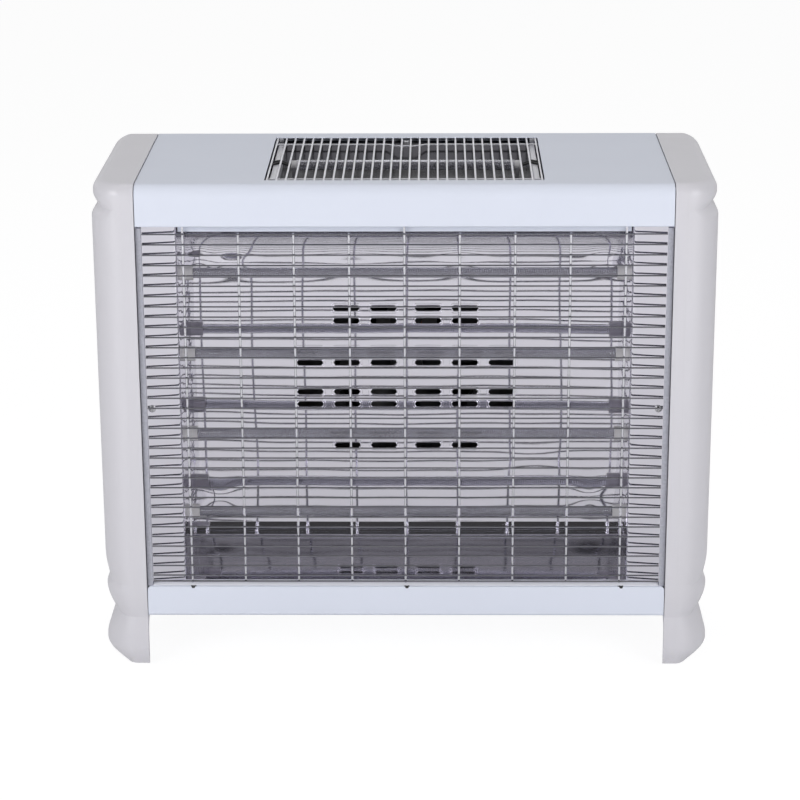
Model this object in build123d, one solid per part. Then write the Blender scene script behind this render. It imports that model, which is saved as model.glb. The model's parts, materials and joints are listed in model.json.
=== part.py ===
from build123d import *
import os
from math import cos, hypot, pi, sin

os.makedirs("parts", exist_ok=True)

# A free-standing quartz tube heater with a fan. Sizes are in millimetres. The origin is the middle
# of the footprint, on the ground. The front faces -Y, and +X is to the right of a person who looks
# at that front.

# Whole heater
width = 659.0
depth = 270.0
height = 537.0
bay_width = 560.0

# Sheets
sheet = 1.0
frame_sheet = 0.8
bright_sheet = 0.8

# Plastic side panels: plan, then the levels of the creases and crests, then how far each is inset
panel_wall = 2.6
front_round_x = 36.0
front_round_y = 45.0
back_round_x = 20.0
back_round_y = 38.0
top_round = 12.0
foot_lift = 1.5
foot_floor = 3.0
foot_edge = 21.0
belly_z = 22.0
waist_z = 56.0
bulge_z = 85.0
low_notch_z = 94.0
column_low_rise = 30.0
column_top_drop = 40.0
high_notch_drop = 27.0
cap_crest_drop = 14.0
foot_side_tuck = 19.0
foot_end_tuck = 5.0
waist_inset = 12.5
waist_end_inset = 4.0
bulge_inset = 1.7
low_notch_inset = 5.5
column_inset = 1.0
high_notch_inset = 10.0
cap_inset = 3.3
arch_length = 100.0
arch_height = 42.0
arch_round = 24.0
foot_open = 11.0
foot_open_drop = 2.5
foot_open_round = 22.0

# Hand recess in the outside of each side panel
grip_length = 96.0
grip_height = 34.0
grip_depth = 20.0
grip_drop = 64.0
grip_round = 14.0

# Bosses that the side panels are screwed on by
boss_r = 5.0
boss_front_y = -92.0
boss_back_y = 104.0
boss_low_z = 80.0
boss_top_drop = 40.0

# Rubber pads under the feet
pad_r = 8.0
pad_thickness = 3.0
pad_x = 301.0
pad_y = 95.0
pad_clear = 0.2

# Painted metal body
cover_drop = 1.0
skin_setback = 1.0
seam_groove = 3.0
fascia_height = 44.0
ground_clearance = 58.5
sill_height = 34.4
lip_depth = 16.0
cover_bend = 12.0
floor_bend = 4.0
small_bend = 2.0
rear_recess = 5.0
rear_lip = 15.0
rear_flange = 22.0
rear_side_flange = 14.0
strip_width = 6.5
strip_gap = 1.8
panel_corner = 4.0
strip_bend = 1.2

# Air slots in the back panel
inlet_r = 88.0
inlet_slot_length = 28.0
inlet_slot_height = 5.0
inlet_pitch_x = 38.0
inlet_pitch_z = 12.0
outlet_count = 9
outlet_drop = 60.0

# Front guard of chromed wire
guard_setback = 7.0
rod_r = 0.85
stay_r = 1.3
weld = 0.1
rod_pitch = 11.16
rod_count = 35
rod_low_gap = 10.8
rod_end_gap = 0.5
rail_gap = 4.0
stay_pitch = 57.7
stay_count = 9
stay_hook = 5.0
stay_clear = 0.5
hook_slot = 4.4

# Reflector, its cheeks and the front tubes
cheek_x = 237.8
cheek_setback = 11.0
cheek_return = 11.0
reflector_depth = 100.0
reflector_curve = 52.0
reflector_rise = 39.3
reflector_step = 6.0
reflector_step_height = 13.5
shelf_fold_back = 37.2
shelf_fold_rise = 16.4
reflector_fall = 15.0
reflector_flange = 13.0
reflector_bend = 3.0
tube_count = 4
tube_pitch = 89.6
tube_offset_z = 3.65
tube_setback = 51.0
tube_r = 5.5
tube_bore_r = 4.3
tube_seat = 13.0
cap_r = 8.0
cap_clear = 0.2
cap_proud = 13.0
cap_behind = 18.0
pin_r = 1.2
pin_clear = 0.3
coil_r = 3.8
coil_short = 8.0
bus_gap = 8.0
bus_width = 8.0
bus_overrun = 6.0
retainer_width = 26.0
retainer_overrun = 14.0
retainer_foot = 8.0
retainer_bend = 1.5

# Air slots in the reflector
slot_length = 28.5
slot_height = 6.2
slot_pitch = 40.25
slot_middle = 48.4
slot_pair_gap = 14.1
slot_pair_pitch = 47.4
slots_each_side = (2, 3, 3, 2)

# Top heater: window, rods, side plates, tray and tube
window_length = 292.0
window_depth = 216.0
window_round = 3.0
top_rod_count = 30
top_rod_pitch = 9.91
top_rod_r = 1.0
top_overlap = 4.0
cross_wire_y = 87.0
cross_dip = 8.0
cross_dip_half = 10.0
cross_dip_run = 12.0
cross_bend = 4.0
side_plate_in = 136.2
side_plate_out = 142.2
side_plate_drop = 7.0
side_plate_height = 28.0
side_plate_bend = 1.5
tray_drop = 4.0
tray_depth = 19.0
tray_flange = 16.0
tray_floor = 120.0
tray_bend = 3.0
top_tube_y = 15.0
top_tube_drop = 11.0
top_tube_gap = 18.2
plug_r = 5.0
plug_neck = 3.0
plug_length = 6.0
cradle_width = 10.0
cradle_drop = 2.0
top_lead_r = 1.3
top_lead_bend = 1.8
top_lead_start = 2.5
top_lead_end = 6.0
top_lead_x = 144.1
connector_width = 24.0
connector_height = 12.0
connector_drop = 13.0

# Fan and its motor
fan_r = 74.0
fan_lift = 3.2
fan_y = 14.0
fan_hub_r = 18.0
fan_hub_length = 20.0
blade_count = 5
blade_thickness = 1.8
blade_rise = 3.0
blade_root_chord = 20.0
blade_tip_chord = 50.0
blade_root_pitch = 46.0
blade_tip_pitch = 23.0
duct_length = 256.0
duct_height = 184.0
duct_flange = 8.0
duct_back_y = 0.0
duct_clear = 5.0
collar_length = 28.0
collar_wall = 1.5
shaft_r = 3.0
running_clear = 0.05
shaft_front_y = 3.0
core_front_y = 40.0
core_length = 20.0
core_half_width = 34.0
core_web = 6.0
core_bar = 12.0
coil_window = 12.0
coil_window_half = 22.0
winding_half = 17.0
winding_over = 7.0
rotor_r = 19.5
rotor_gap = 0.5
bridge_leg = 8.0
bridge_height = 18.0
bridge_rise = 6.0
bridge_sheet = 2.0
bearing_r = 8.0
bearing_length = 8.0
bearing_clear = 1.0
tie_x = 26.0
tie_r = 2.0
tie_clear = 0.1
tie_head_r = 3.6
tie_head = 2.6
bracket_sheet = 1.5
bracket_half = 92.0
bracket_foot = 17.0
bracket_height = 24.0
bracket_bend = 3.0

# Electrical pieces inside
gland_x = 215.0
gland_z = 92.0
gland_r = 6.9
gland_clear = 0.1
gland_flange_r = 10.0
gland_proud = 4.5
gland_inside = 17.0
gland_nut = 5.0
gland_bore_r = 3.6
terminal_x = 170.0
terminal_back_gap = 24.0
terminal_length = 42.0
terminal_width = 22.0
terminal_height = 18.0
cutout_x = 160.0
cutout_z = 402.0
cutout_r = 8.0
cutout_length = 7.0
lead_r = 1.8
lead_bend = 14.0
lead_step = 14.0
lead_rise = 34.0

# Tip-over switch in the right rear foot
tip_x = 302.0
tip_y = 64.0
tip_gap = 0.3
tip_hole_clear = 0.5
tip_stem_r = 3.0
tip_collar_r = 5.0
tip_collar = 2.0
tip_travel = 5.0
tip_spring_room = 15.0
tip_box_x = 18.0
tip_box_y = 15.0
tip_box_floor = 6.0
tip_box_roof = 2.5
spring_r = 4.1
spring_wire_r = 0.4
spring_turns = 5.0
spring_clear = 0.2

# Rocker switches in the right side panel
switch_count = 4
switch_pitch = 27.0
switch_y = 20.0
switch_drop = 187.0
switch_recess = 3.0
plate_thickness = 2.0
plate_margin_y = 8.8
plate_margin_z = 6.7
plate_clear = 0.2
plate_ledge = 4.0
switch_pad_wall = 4.6
switch_pad_depth = 13.0
rocker_half = 9.8
rocker_width = 13.0
rocker_side_clear = 0.7
rocker_end_clear = 1.5
rocker_edge = 7.6
rocker_middle = 5.6
rocker_back = 2.0
rocker_tail = 5.0
rocker_tilt = 10.0
rocker_pivot_depth = 9.4
rocker_pin_r = 1.5
switch_wall = 1.2
switch_body_depth = 18.0
switch_floor_clear = 7.0

# Screws
screw_r = 1.7
screw_clear = 0.1
screw_head_r = 3.6
screw_head = 2.2
screw_grip = 13.0
rear_screw_x = 200.0
rear_screw_drop = 8.0
rear_screw_rise = 10.0
rear_screw_grip = 7.0
cross_screw_head_r = 3.8
cross_screw_head = 2.4
cross_screw_grip = 8.0
cross_screw_inset = 11.5
cross_screw_lift = -4.1
cross_slot_length = 4.6
cross_slot_width = 1.1
cross_slot_depth = 1.3
tab_height = 12.0
tab_length = 22.0
tab_clear = 0.5

# Planes and levels that follow from the sizes above
x_out = width / 2
x_seam = bay_width / 2
x_cover = x_seam - frame_sheet
x_column = x_out - column_inset
y_front = -depth / 2
y_back = depth / 2
y_skin = y_front + skin_setback
y_groove = y_skin + seam_groove
y_rear = y_back - rear_recess
terminal_y = y_rear - terminal_back_gap
y_panel_inside = y_rear - sheet
cover_top = height - cover_drop
cover_under = cover_top - sheet
groove_top = cover_top - seam_groove
lintel_z = cover_top - fascia_height
sill_z = ground_clearance + sill_height
floor_top = ground_clearance + sheet
y_lip = y_skin + lip_depth
column_low_z = low_notch_z + column_low_rise
column_high_z = height - column_top_drop
switch_z = height - switch_drop
top_tube_half = side_plate_in - top_tube_gap
high_notch_z = height - high_notch_drop
cap_crest_z = height - cap_crest_drop
bend_z = height - top_round
foot_inside_z = foot_lift + foot_floor
y_guard = y_front + guard_setback
y_stay = y_guard + rod_r + stay_r - weld
rail_low_z = sill_z + rail_gap
y_cheek = y_front + cheek_setback
y_cheek_back = y_cheek + bright_sheet
y_reflector = y_front + reflector_depth
y_reflector_back = y_reflector + bright_sheet
y_tube = y_front + tube_setback
tube_middle_z = (sill_z + lintel_z) / 2 + tube_offset_z
fan_z = tube_middle_z + fan_lift
cross_screw_x = x_seam - cross_screw_inset
cross_screw_z = tube_middle_z + cross_screw_lift
x_cap_front = cheek_x - cap_proud
x_cap_back = cheek_x + cap_behind
x_tube_end = x_cap_front + tube_seat
x_bus = x_cap_back + bus_gap
top_rod_z = cover_under - top_rod_r
cross_wire_z = top_rod_z - 2 * top_rod_r + weld
top_half = window_depth / 2 + top_overlap
side_plate_z = cover_top - side_plate_drop
tray_z = cover_under - tray_drop
tray_low_z = tray_z - tray_depth
top_tube_z = cover_top - top_tube_drop
core_back_y = core_front_y + core_length
core_hole_r = rotor_r + rotor_gap
bridge_front_y = core_front_y - bridge_rise - bridge_sheet
bridge_back_y = core_back_y + bridge_rise + bridge_sheet
x_plate = x_column - switch_recess
x_plate_back = x_plate - plate_thickness
x_pivot = x_column - rocker_pivot_depth
switch_open_y = rocker_width + 2 * rocker_side_clear
switch_open_z = 2 * (rocker_half + rocker_end_clear)
switch_body_y = switch_open_y + 2 * switch_wall
switch_body_z = switch_open_z + 2 * switch_wall
plate_width = switch_body_y + 2 * plate_margin_y
plate_length = switch_body_z + (switch_count - 1) * switch_pitch + 2 * plate_margin_z


def save(name, *shapes):
    """Write one node. Several shapes stay separate solids in that node."""
    solids = [solid for shape in shapes for solid in shape.solids()]
    export_step(solids[0] if len(solids) == 1 else Compound(solids), f"parts/{name}.step")


def block(x_span, y_span, z_span):
    """Box between two values on each axis."""
    spans = (x_span, y_span, z_span)
    sizes = [abs(high - low) for low, high in spans]
    middle = [(high + low) / 2 for low, high in spans]
    return Pos(*middle) * Box(*sizes)


def about(middle, size):
    """Span of one size about its middle."""
    return (middle - size / 2, middle + size / 2)


def evenly(count, pitch, middle=0.0):
    """Places at an even pitch, centred on the middle."""
    return [middle + (k - (count - 1) / 2) * pitch for k in range(count)]


def rod_x(x_span, y, z, radius):
    """Cylinder along X."""
    low, high = min(x_span), max(x_span)
    return Pos((low + high) / 2, y, z) * Rot(0, 90, 0) * Cylinder(radius, high - low)


def rod_y(x, y_span, z, radius):
    """Cylinder along Y."""
    low, high = min(y_span), max(y_span)
    return Pos(x, (low + high) / 2, z) * Rot(90, 0, 0) * Cylinder(radius, high - low)


def rod_z(x, y, z_span, radius):
    """Cylinder along Z."""
    low, high = min(z_span), max(z_span)
    return Pos(x, y, (low + high) / 2) * Cylinder(radius, high - low)


def along_x(face, x_span):
    """Extrude a face drawn as (Y, Z) between two values of X."""
    low, high = min(x_span), max(x_span)
    return extrude(Plane.YZ.offset(low) * face, amount=high - low)


def along_y(face, y_span):
    """Extrude a face drawn as (X, Z) between two values of Y."""
    low, high = min(y_span), max(y_span)
    return extrude(Plane.XZ.offset(-high) * face, amount=high - low)


def along_z(face, z_span):
    """Extrude a face drawn as (X, Y) between two values of Z."""
    low, high = min(z_span), max(z_span)
    return extrude(Plane.XY.offset(low) * face, amount=high - low)


def bent_sheet(points, radii, thickness):
    """Section of a bent sheet. The points run along one face, and the metal is to their left."""
    near = [Vector(*point) for point in points]
    sides = []
    for start, end in zip(near, near[1:]):
        run = (end - start).normalized()
        sides.append(Vector(-run.Y, run.X))
    far = [near[0] + sides[0] * thickness]
    far_radii = []
    for corner, before, after, radius in zip(near[1:], sides, sides[1:], radii):
        far.append(corner + (before + after) * (thickness / (1 + before.dot(after))))
        turns_left = before.cross(after).Z > 0
        far_radii.append(radius - thickness if turns_left else radius + thickness)
    far.append(near[-1] + sides[-1] * thickness)
    return make_face(
        [
            FilletPolyline(*near, radius=radii),
            Line(near[-1], far[-1]),
            FilletPolyline(*reversed(far), radius=list(reversed(far_radii))),
            Line(far[0], near[0]),
        ]
    )


def round_wire(points, bend, radius):
    """Round wire along straight runs joined by arcs of one bend radius."""
    path = FilletPolyline(*points, radius=bend)
    return sweep(Plane(origin=path @ 0, z_dir=path % 0) * Circle(radius), path=path)


def other_side(shape):
    """The same piece for the left side."""
    return mirror(shape, about=Plane.YZ)


# Plastic side panels


def eased(z, crease, crest, crease_inset, crest_inset):
    """Inset between a crease, where the outline turns, and a crest, where it is level."""
    share = (z - crest) / (crease - crest)
    return crest_inset + (crease_inset - crest_inset) * (1 - cos(pi / 2 * share))


def foot_rise(z, tuck, crease_inset):
    """Inset of the foot, which is tucked in under its belly and drawn in to the waist above it."""
    if z < foot_edge:
        return eased(z, foot_lift, foot_edge, tuck, 0)
    return eased(z, waist_z, belly_z, crease_inset, 0) if z > belly_z else 0.0


def foot_side(z):
    """Inset of the outer side of the foot."""
    return foot_rise(z, foot_side_tuck, waist_inset)


def foot_end(z):
    """How far the front and the back of the foot are drawn in."""
    return foot_rise(z, foot_end_tuck, waist_end_inset)


def bulge_side(z):
    """Inset of the bulge between the waist and the lower notch."""
    if z < bulge_z:
        return eased(z, waist_z, bulge_z, waist_inset, bulge_inset)
    return eased(z, low_notch_z, bulge_z, low_notch_inset, bulge_inset)


def bulge_end(z):
    """How far the front and the back of the bulge are drawn in towards the waist."""
    return eased(z, waist_z, bulge_z, waist_end_inset, 0) if z < bulge_z else 0.0


def column_side(z):
    """Inset of the column between the two notches."""
    if z < column_low_z:
        return eased(z, low_notch_z, column_low_z, low_notch_inset, column_inset)
    if z > column_high_z:
        return eased(z, high_notch_z, column_high_z, high_notch_inset, column_inset)
    return column_inset


def cap_side(z):
    """Inset of the cap between the upper notch and its crest."""
    return eased(min(z, cap_crest_z), high_notch_z, cap_crest_z, high_notch_inset, cap_inset)


def upright_end(z):
    """The front and the back of the column and of the cap are upright."""
    return 0.0


def panel_plan(z, side_inset, end_inset, wall=0.0):
    """Plan of the right side panel at one level, with its large front and back corners."""
    x_inner = x_seam - wall
    x_face = x_out - side_inset - wall
    y_near = y_front + end_inset + wall
    y_far = y_back - end_inset - wall
    x_front = x_out - front_round_x
    x_back = x_out - back_round_x
    y_front_corner = y_front + front_round_y
    y_back_corner = y_back - back_round_y
    front_size = (x_face - x_front, y_front_corner - y_near)
    back_size = (x_face - x_back, y_far - y_back_corner)
    plan = [
        Line((x_inner, y_near), (x_front, y_near)),
        EllipticalCenterArc((x_front, y_front_corner), *front_size, 270, arc_size=90),
        Line((x_face, y_front_corner), (x_face, y_back_corner)),
        EllipticalCenterArc((x_back, y_back_corner), *back_size, 0, arc_size=90),
        Line((x_back, y_far), (x_inner, y_far)),
        Line((x_inner, y_far), (x_inner, y_near)),
    ]
    return Pos(0, 0, z) * make_face(plan)


def steps(low, high, count):
    """Evenly spaced values from low to high."""
    return [low + (high - low) * k / count for k in range(count + 1)]


def quarter_round(radius, count):
    """Rise and inset of points along a quarter round, from its upright tangent to its level one."""
    return [(radius * sin(angle), radius * (1 - cos(angle))) for angle in steps(0, pi / 2, count)]


def panel_span(levels, side, end, ruled=False):
    """Loft one stretch of the side panel."""
    return loft([panel_plan(z, side(z), end(z)) for z in levels], ruled=ruled)


panel_outside = panel_span(steps(foot_lift, foot_edge, 5), foot_side, foot_end)
panel_outside += panel_span([foot_edge, belly_z], foot_side, foot_end, ruled=True)
panel_outside += panel_span(steps(belly_z, waist_z, 5), foot_side, foot_end)
panel_outside += panel_span(steps(waist_z, bulge_z, 5), bulge_side, bulge_end)
panel_outside += panel_span(steps(bulge_z, low_notch_z, 3), bulge_side, bulge_end)
panel_outside += panel_span(steps(low_notch_z, column_low_z, 4), column_side, upright_end)
panel_outside += panel_span([column_low_z, column_high_z], column_side, upright_end, ruled=True)
panel_outside += panel_span(steps(column_high_z, high_notch_z, 5), column_side, upright_end)
panel_outside += panel_span(steps(high_notch_z, cap_crest_z, 4), cap_side, upright_end)
panel_outside += panel_span([cap_crest_z, bend_z], cap_side, upright_end, ruled=True)
panel_outside += loft(
    [panel_plan(bend_z + rise, cap_inset + inset, inset) for rise, inset in quarter_round(top_round, 5)]
)

# The hollow of the panel follows the same outline, one wall further in
hollow_plans = []
for levels, side, end in (
    (steps(foot_inside_z, foot_edge, 3), foot_side, foot_end),
    (steps(foot_edge, waist_z, 5)[1:], foot_side, foot_end),
    (steps(waist_z, low_notch_z, 4)[1:], bulge_side, bulge_end),
    (steps(low_notch_z, column_low_z, 2)[1:], column_side, upright_end),
    (steps(column_high_z, high_notch_z, 3), column_side, upright_end),
    (steps(high_notch_z, cap_crest_z, 3)[1:], cap_side, upright_end),
):
    hollow_plans += [panel_plan(z, side(z), end(z), panel_wall) for z in levels]
for rise, inset in quarter_round(top_round - panel_wall, 3):
    hollow_plans.append(panel_plan(bend_z + rise, cap_inset + inset, inset, panel_wall))
panel_hollow = loft(hollow_plans, ruled=True)


def arch(grown=0.0):
    """Room between the front and the rear foot, or the same room grown by a wall."""
    half = arch_length / 2 + grown
    top = arch_height + grown
    outline = FilletPolyline(
        (-half, -foot_floor), (-half, top), (half, top), (half, -foot_floor), radius=arch_round + grown
    )
    face = make_face([outline, Line((half, -foot_floor), (-half, -foot_floor))])
    return along_x(face, (x_seam - panel_wall, x_out + panel_wall))


def foot_opening(grown=0.0):
    """Opening in the inner side of the panel's foot, from the front wall back over the whole arch."""
    y_near = y_front + waist_end_inset + panel_wall
    y_far = arch_length / 2
    top = ground_clearance - foot_open_drop + grown
    outline = FilletPolyline(
        (y_near, -foot_floor),
        (y_near, top),
        (y_far, top),
        (y_far, -foot_floor),
        radius=[foot_open_round, grown + small_bend],
    )
    face = make_face([outline, Line((y_far, -foot_floor), (y_near, -foot_floor))])
    return along_x(face, (x_seam - panel_wall, x_seam + foot_open + grown))


def grip(grown=0.0):
    """Hand recess, or the same recess grown by a wall."""
    face = RectangleRounded(grip_length + 2 * grown, grip_height + 2 * grown, grip_round + grown)
    return along_x(Pos(0, height - grip_drop) * face, (x_column - grip_depth - grown, x_out + grown))


boss_places = [
    (y, z) for y in (boss_front_y, boss_back_y) for z in (boss_low_z, height - boss_top_drop)
]
inner_foot_wall = block(
    (x_seam, x_seam + panel_wall), (y_front, y_back), (0, ground_clearance + panel_wall)
)
panel_inside = panel_hollow - arch(panel_wall) - grip(panel_wall) - foot_opening(panel_wall) - inner_foot_wall
for y, z in boss_places:
    panel_inside -= rod_x((x_seam, x_out), y, z, boss_r)


def finished_panel(inside):
    """Right side panel around one hollow, with its arch, hand recess, pilot holes and pad seats."""
    panel = panel_outside - inside - arch() - foot_opening() - grip()
    for y, z in boss_places:
        panel -= rod_x((x_seam, x_seam + screw_grip), y, z, screw_r + screw_clear)
    for y in (-pad_y, pad_y):
        panel -= rod_z(pad_x, y, (0, pad_thickness), pad_r + pad_clear)
    return panel


save("left_side_panel", other_side(finished_panel(panel_inside)))

# The right panel has a thick pad that holds the switches, and a hole for the tip-over plunger
switch_pad = block(
    (x_column - switch_pad_depth, x_out),
    about(switch_y, plate_width + 2 * switch_pad_wall),
    about(switch_z, plate_length + 2 * switch_pad_wall),
)
right_panel = finished_panel(panel_inside - switch_pad)
right_panel -= block(
    (x_plate_back, x_out),
    about(switch_y, plate_width + 2 * plate_clear),
    about(switch_z, plate_length + 2 * plate_clear),
)
right_panel -= block(
    (x_column - switch_pad_depth - panel_wall, x_out),
    about(switch_y, plate_width - 2 * plate_ledge),
    about(switch_z, plate_length - 2 * plate_ledge),
)
right_panel -= rod_z(tip_x, tip_y, (0, foot_inside_z + foot_floor), tip_stem_r + tip_hole_clear)
save("right_side_panel", right_panel)

foot_pads = [
    rod_z(x, y, (0, pad_thickness), pad_r) for x in (-pad_x, pad_x) for y in (-pad_y, pad_y)
]
save("foot_pads", *foot_pads)

# Tip-over switch: a box on the floor of the foot, a plunger that looks out below, and its spring
tip_chamber_z = foot_inside_z + tip_box_floor
tip_collar_z = tip_chamber_z + tip_travel + tip_gap
tip_spring_z = tip_collar_z + tip_collar
tip_roof_z = tip_spring_z + tip_spring_room
tip_box = block(
    about(tip_x, tip_box_x), about(tip_y, tip_box_y), (foot_inside_z, tip_roof_z + tip_box_roof)
)
tip_box -= rod_z(tip_x, tip_y, (tip_chamber_z, tip_roof_z), tip_collar_r + spring_clear)
tip_box -= rod_z(tip_x, tip_y, (foot_inside_z, tip_chamber_z), tip_stem_r + running_clear)
save("tip_switch_body", tip_box)
tip_plunger = rod_z(tip_x, tip_y, (tip_gap, tip_spring_z + tip_travel), tip_stem_r)
tip_plunger += rod_z(tip_x, tip_y, (tip_collar_z, tip_spring_z), tip_collar_r)
save("tip_plunger", tip_plunger)
spring_low_z = tip_spring_z + spring_clear + spring_wire_r
spring_length = tip_spring_room - 2 * (spring_clear + spring_wire_r)
spring_path = Helix(
    spring_length / spring_turns, spring_length, spring_r, center=(tip_x, tip_y, spring_low_z)
)
spring_end = Plane(origin=spring_path @ 0, z_dir=spring_path % 0)
save("tip_spring", sweep(spring_end * Circle(spring_wire_r), path=spring_path, is_frenet=True))

# Switch plate, the bodies behind it, and a rocker on a pin in each
plate = block((x_plate_back, x_plate), about(switch_y, plate_width), about(switch_z, plate_length))
switch_bodies = []
rocker_pins = []
rockers = []
rocker_outline = Polyline(
    (rocker_middle, 0),
    (rocker_edge, rocker_half),
    (-rocker_back, rocker_half),
    (-rocker_tail, rocker_half / 2),
    (-rocker_tail, -rocker_half / 2),
    (-rocker_back, -rocker_half),
    (rocker_edge, -rocker_half),
    close=True,
)
for z in evenly(switch_count, switch_pitch, switch_z):
    opening = (about(switch_y, switch_open_y), about(z, switch_open_z))
    plate -= block((x_plate_back, x_plate), *opening)
    body = block(
        (x_plate_back - switch_body_depth, x_plate_back),
        about(switch_y, switch_body_y),
        about(z, switch_body_z),
    )
    body -= block((x_pivot - switch_floor_clear, x_plate_back), *opening)
    pin = rod_y(x_pivot, about(switch_y, switch_body_y), z, rocker_pin_r)
    switch_bodies.append(body - pin)
    rocker_pins.append(pin)
    rocker = along_y(make_face(rocker_outline), about(0, rocker_width))
    rocker -= rod_y(0, about(0, rocker_width), 0, rocker_pin_r + running_clear)
    rockers.append(Pos(x_pivot, switch_y, z) * Rot(0, rocker_tilt, 0) * rocker)
save("switch_plate", plate)
save("switch_bodies", *switch_bodies)
save("rocker_pins", *rocker_pins)
for number, rocker in enumerate(rockers, start=1):
    save(f"rocker_{number}", rocker)

# Top cover with its window, and the holes that the guard hooks into
cover_profile = bent_sheet(
    [
        (y_rear + sheet, cover_top - rear_lip),
        (y_rear + sheet, cover_top),
        (y_skin, cover_top),
        (y_skin, lintel_z),
        (y_lip, lintel_z),
    ],
    [small_bend, cover_bend, small_bend],
    sheet,
)
top_cover = along_x(cover_profile, (-x_cover, x_cover))
window = RectangleRounded(window_length, window_depth, window_round)
top_cover -= along_z(window, (cover_under - sheet, cover_top + sheet))
stay_xs = evenly(stay_count, stay_pitch)
hooked_xs = [stay_xs[0], stay_xs[stay_count // 2], stay_xs[-1]]
guard_holes = [
    rod_z(x, y_stay, (floor_top + small_bend, cover_under - small_bend), stay_r + stay_clear)
    for x in hooked_xs
]
for hole in guard_holes:
    top_cover -= hole

# Bottom panel, with the lip that the guard's hooks drop into
bottom_profile = bent_sheet(
    [
        (y_lip, sill_z),
        (y_skin, sill_z),
        (y_skin, ground_clearance),
        (y_panel_inside, ground_clearance),
        (y_panel_inside, ground_clearance + rear_flange),
    ],
    [small_bend, floor_bend, small_bend],
    sheet,
)
bottom_panel = along_x(bottom_profile, (-x_cover, x_cover))
for hole in guard_holes:
    bottom_panel -= hole
for x in hooked_xs:
    bottom_panel -= block(
        (x - stay_r - stay_clear, x + hook_slot),
        (y_skin + small_bend / 2, y_stay + stay_r + stay_clear),
        (sill_z - sheet, sill_z),
    )
corner_x = x_cover - panel_corner
corner_z = sill_z - panel_corner
corner_span = (y_skin, y_lip)
corner_cut = block((corner_x, x_cover), corner_span, (corner_z, sill_z))
corner_cut -= rod_y(corner_x, corner_span, corner_z, panel_corner)
bottom_panel = bottom_panel - corner_cut - other_side(corner_cut)

# Back panel with side flanges, the fan's inlet, a row of outlets and the hole for the gland
back_profile = bent_sheet(
    [
        (x_cover, y_rear - rear_side_flange),
        (x_cover, y_rear),
        (-x_cover, y_rear),
        (-x_cover, y_rear - rear_side_flange),
    ],
    [small_bend, small_bend],
    sheet,
)
back_panel = along_z(back_profile, (ground_clearance + rear_flange, cover_under - small_bend))
back_panel += block(
    (-x_cover + small_bend, x_cover - small_bend),
    (y_panel_inside, y_rear),
    (ground_clearance, ground_clearance + rear_flange),
)
through_back = (y_panel_inside - sheet, y_rear + sheet)
back_slot = SlotOverall(inlet_slot_length, inlet_slot_height)
inlet_columns = evenly(2 * int(inlet_r // inlet_pitch_x) + 1, inlet_pitch_x)
inlet_rows = evenly(2 * int(inlet_r // inlet_pitch_z) + 1, inlet_pitch_z)
slot_places = [(x, fan_z + z) for x in inlet_columns for z in inlet_rows if hypot(x, z) < inlet_r]
slot_places += [(x, cover_top - outlet_drop) for x in evenly(outlet_count, inlet_pitch_x)]
for x, z in slot_places:
    back_panel -= along_y(Pos(x, z) * back_slot, through_back)
back_panel -= rod_y(gland_x, through_back, gland_z, gland_r + gland_clear)

# Bracket that carries the motor from the back panel
bracket_front_y = bridge_back_y + bracket_sheet
bracket_profile = bent_sheet(
    [
        (bracket_half + bracket_foot, y_panel_inside),
        (bracket_half, y_panel_inside),
        (bracket_half, bracket_front_y),
        (-bracket_half, bracket_front_y),
        (-bracket_half, y_panel_inside),
        (-bracket_half - bracket_foot, y_panel_inside),
    ],
    [bracket_bend, bracket_bend, bracket_bend, bracket_bend],
    bracket_sheet,
)
bracket = along_z(bracket_profile, about(fan_z, bracket_height))
bracket -= rod_y(0, (bridge_back_y, bracket_front_y), fan_z, bearing_r + bearing_clear)

# Rear screws join the cover, the back panel, the bottom panel and the bracket
case_screws = []
bracket_screw_x = bracket_half + (bracket_foot + bracket_sheet) / 2
for x, head_y, z in (
    (rear_screw_x, y_rear + sheet, cover_top - rear_screw_drop),
    (rear_screw_x, y_rear, ground_clearance + rear_screw_rise),
    (bracket_screw_x, y_rear, fan_z),
):
    for side in (-x, x):
        shank = rod_y(side, (head_y - rear_screw_grip, head_y), z, screw_r)
        case_screws.append(shank + rod_y(side, (head_y, head_y + screw_head), z, screw_head_r))
        hole = rod_y(side, (head_y - rear_screw_grip, head_y + sheet), z, screw_r + screw_clear)
        top_cover -= hole
        bottom_panel -= hole
        back_panel -= hole
        bracket -= hole
save("top_cover", top_cover)
save("bottom_panel", bottom_panel)
save("back_panel", back_panel)

# Side frames: an upright plate, the narrow strip beside the guard, and a tab for the cheek's screw
frame_profile = bent_sheet(
    [(x_seam - strip_width, y_groove), (x_seam, y_groove), (x_seam, y_rear)], [strip_bend], frame_sheet
)
side_frame = along_z(frame_profile, (sill_z, lintel_z - strip_gap))
side_frame += block((x_cover, x_seam), (y_groove, y_rear), (ground_clearance, sill_z))
side_frame += block((x_cover, x_seam), (y_groove, y_rear), (lintel_z - strip_gap, groove_top))
side_frame += block(
    (x_seam - tab_length, x_seam),
    (y_cheek_back, y_cheek_back + frame_sheet),
    about(cross_screw_z, tab_height),
)
cross_shank_span = (y_cheek, y_cheek + cross_screw_grip)
side_frame -= rod_y(cross_screw_x, cross_shank_span, cross_screw_z, screw_r + screw_clear)
for y, z in boss_places:
    side_frame -= rod_x((x_cover, x_seam), y, z, screw_r + screw_clear)
    shank = rod_x((x_cover, x_seam + screw_grip - sheet), y, z, screw_r)
    screw = shank + rod_x((x_cover - screw_head, x_cover), y, z, screw_head_r)
    case_screws += [screw, other_side(screw)]
save("right_side_frame", side_frame)
save("left_side_frame", other_side(side_frame))
save("case_screws", *case_screws)

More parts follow.
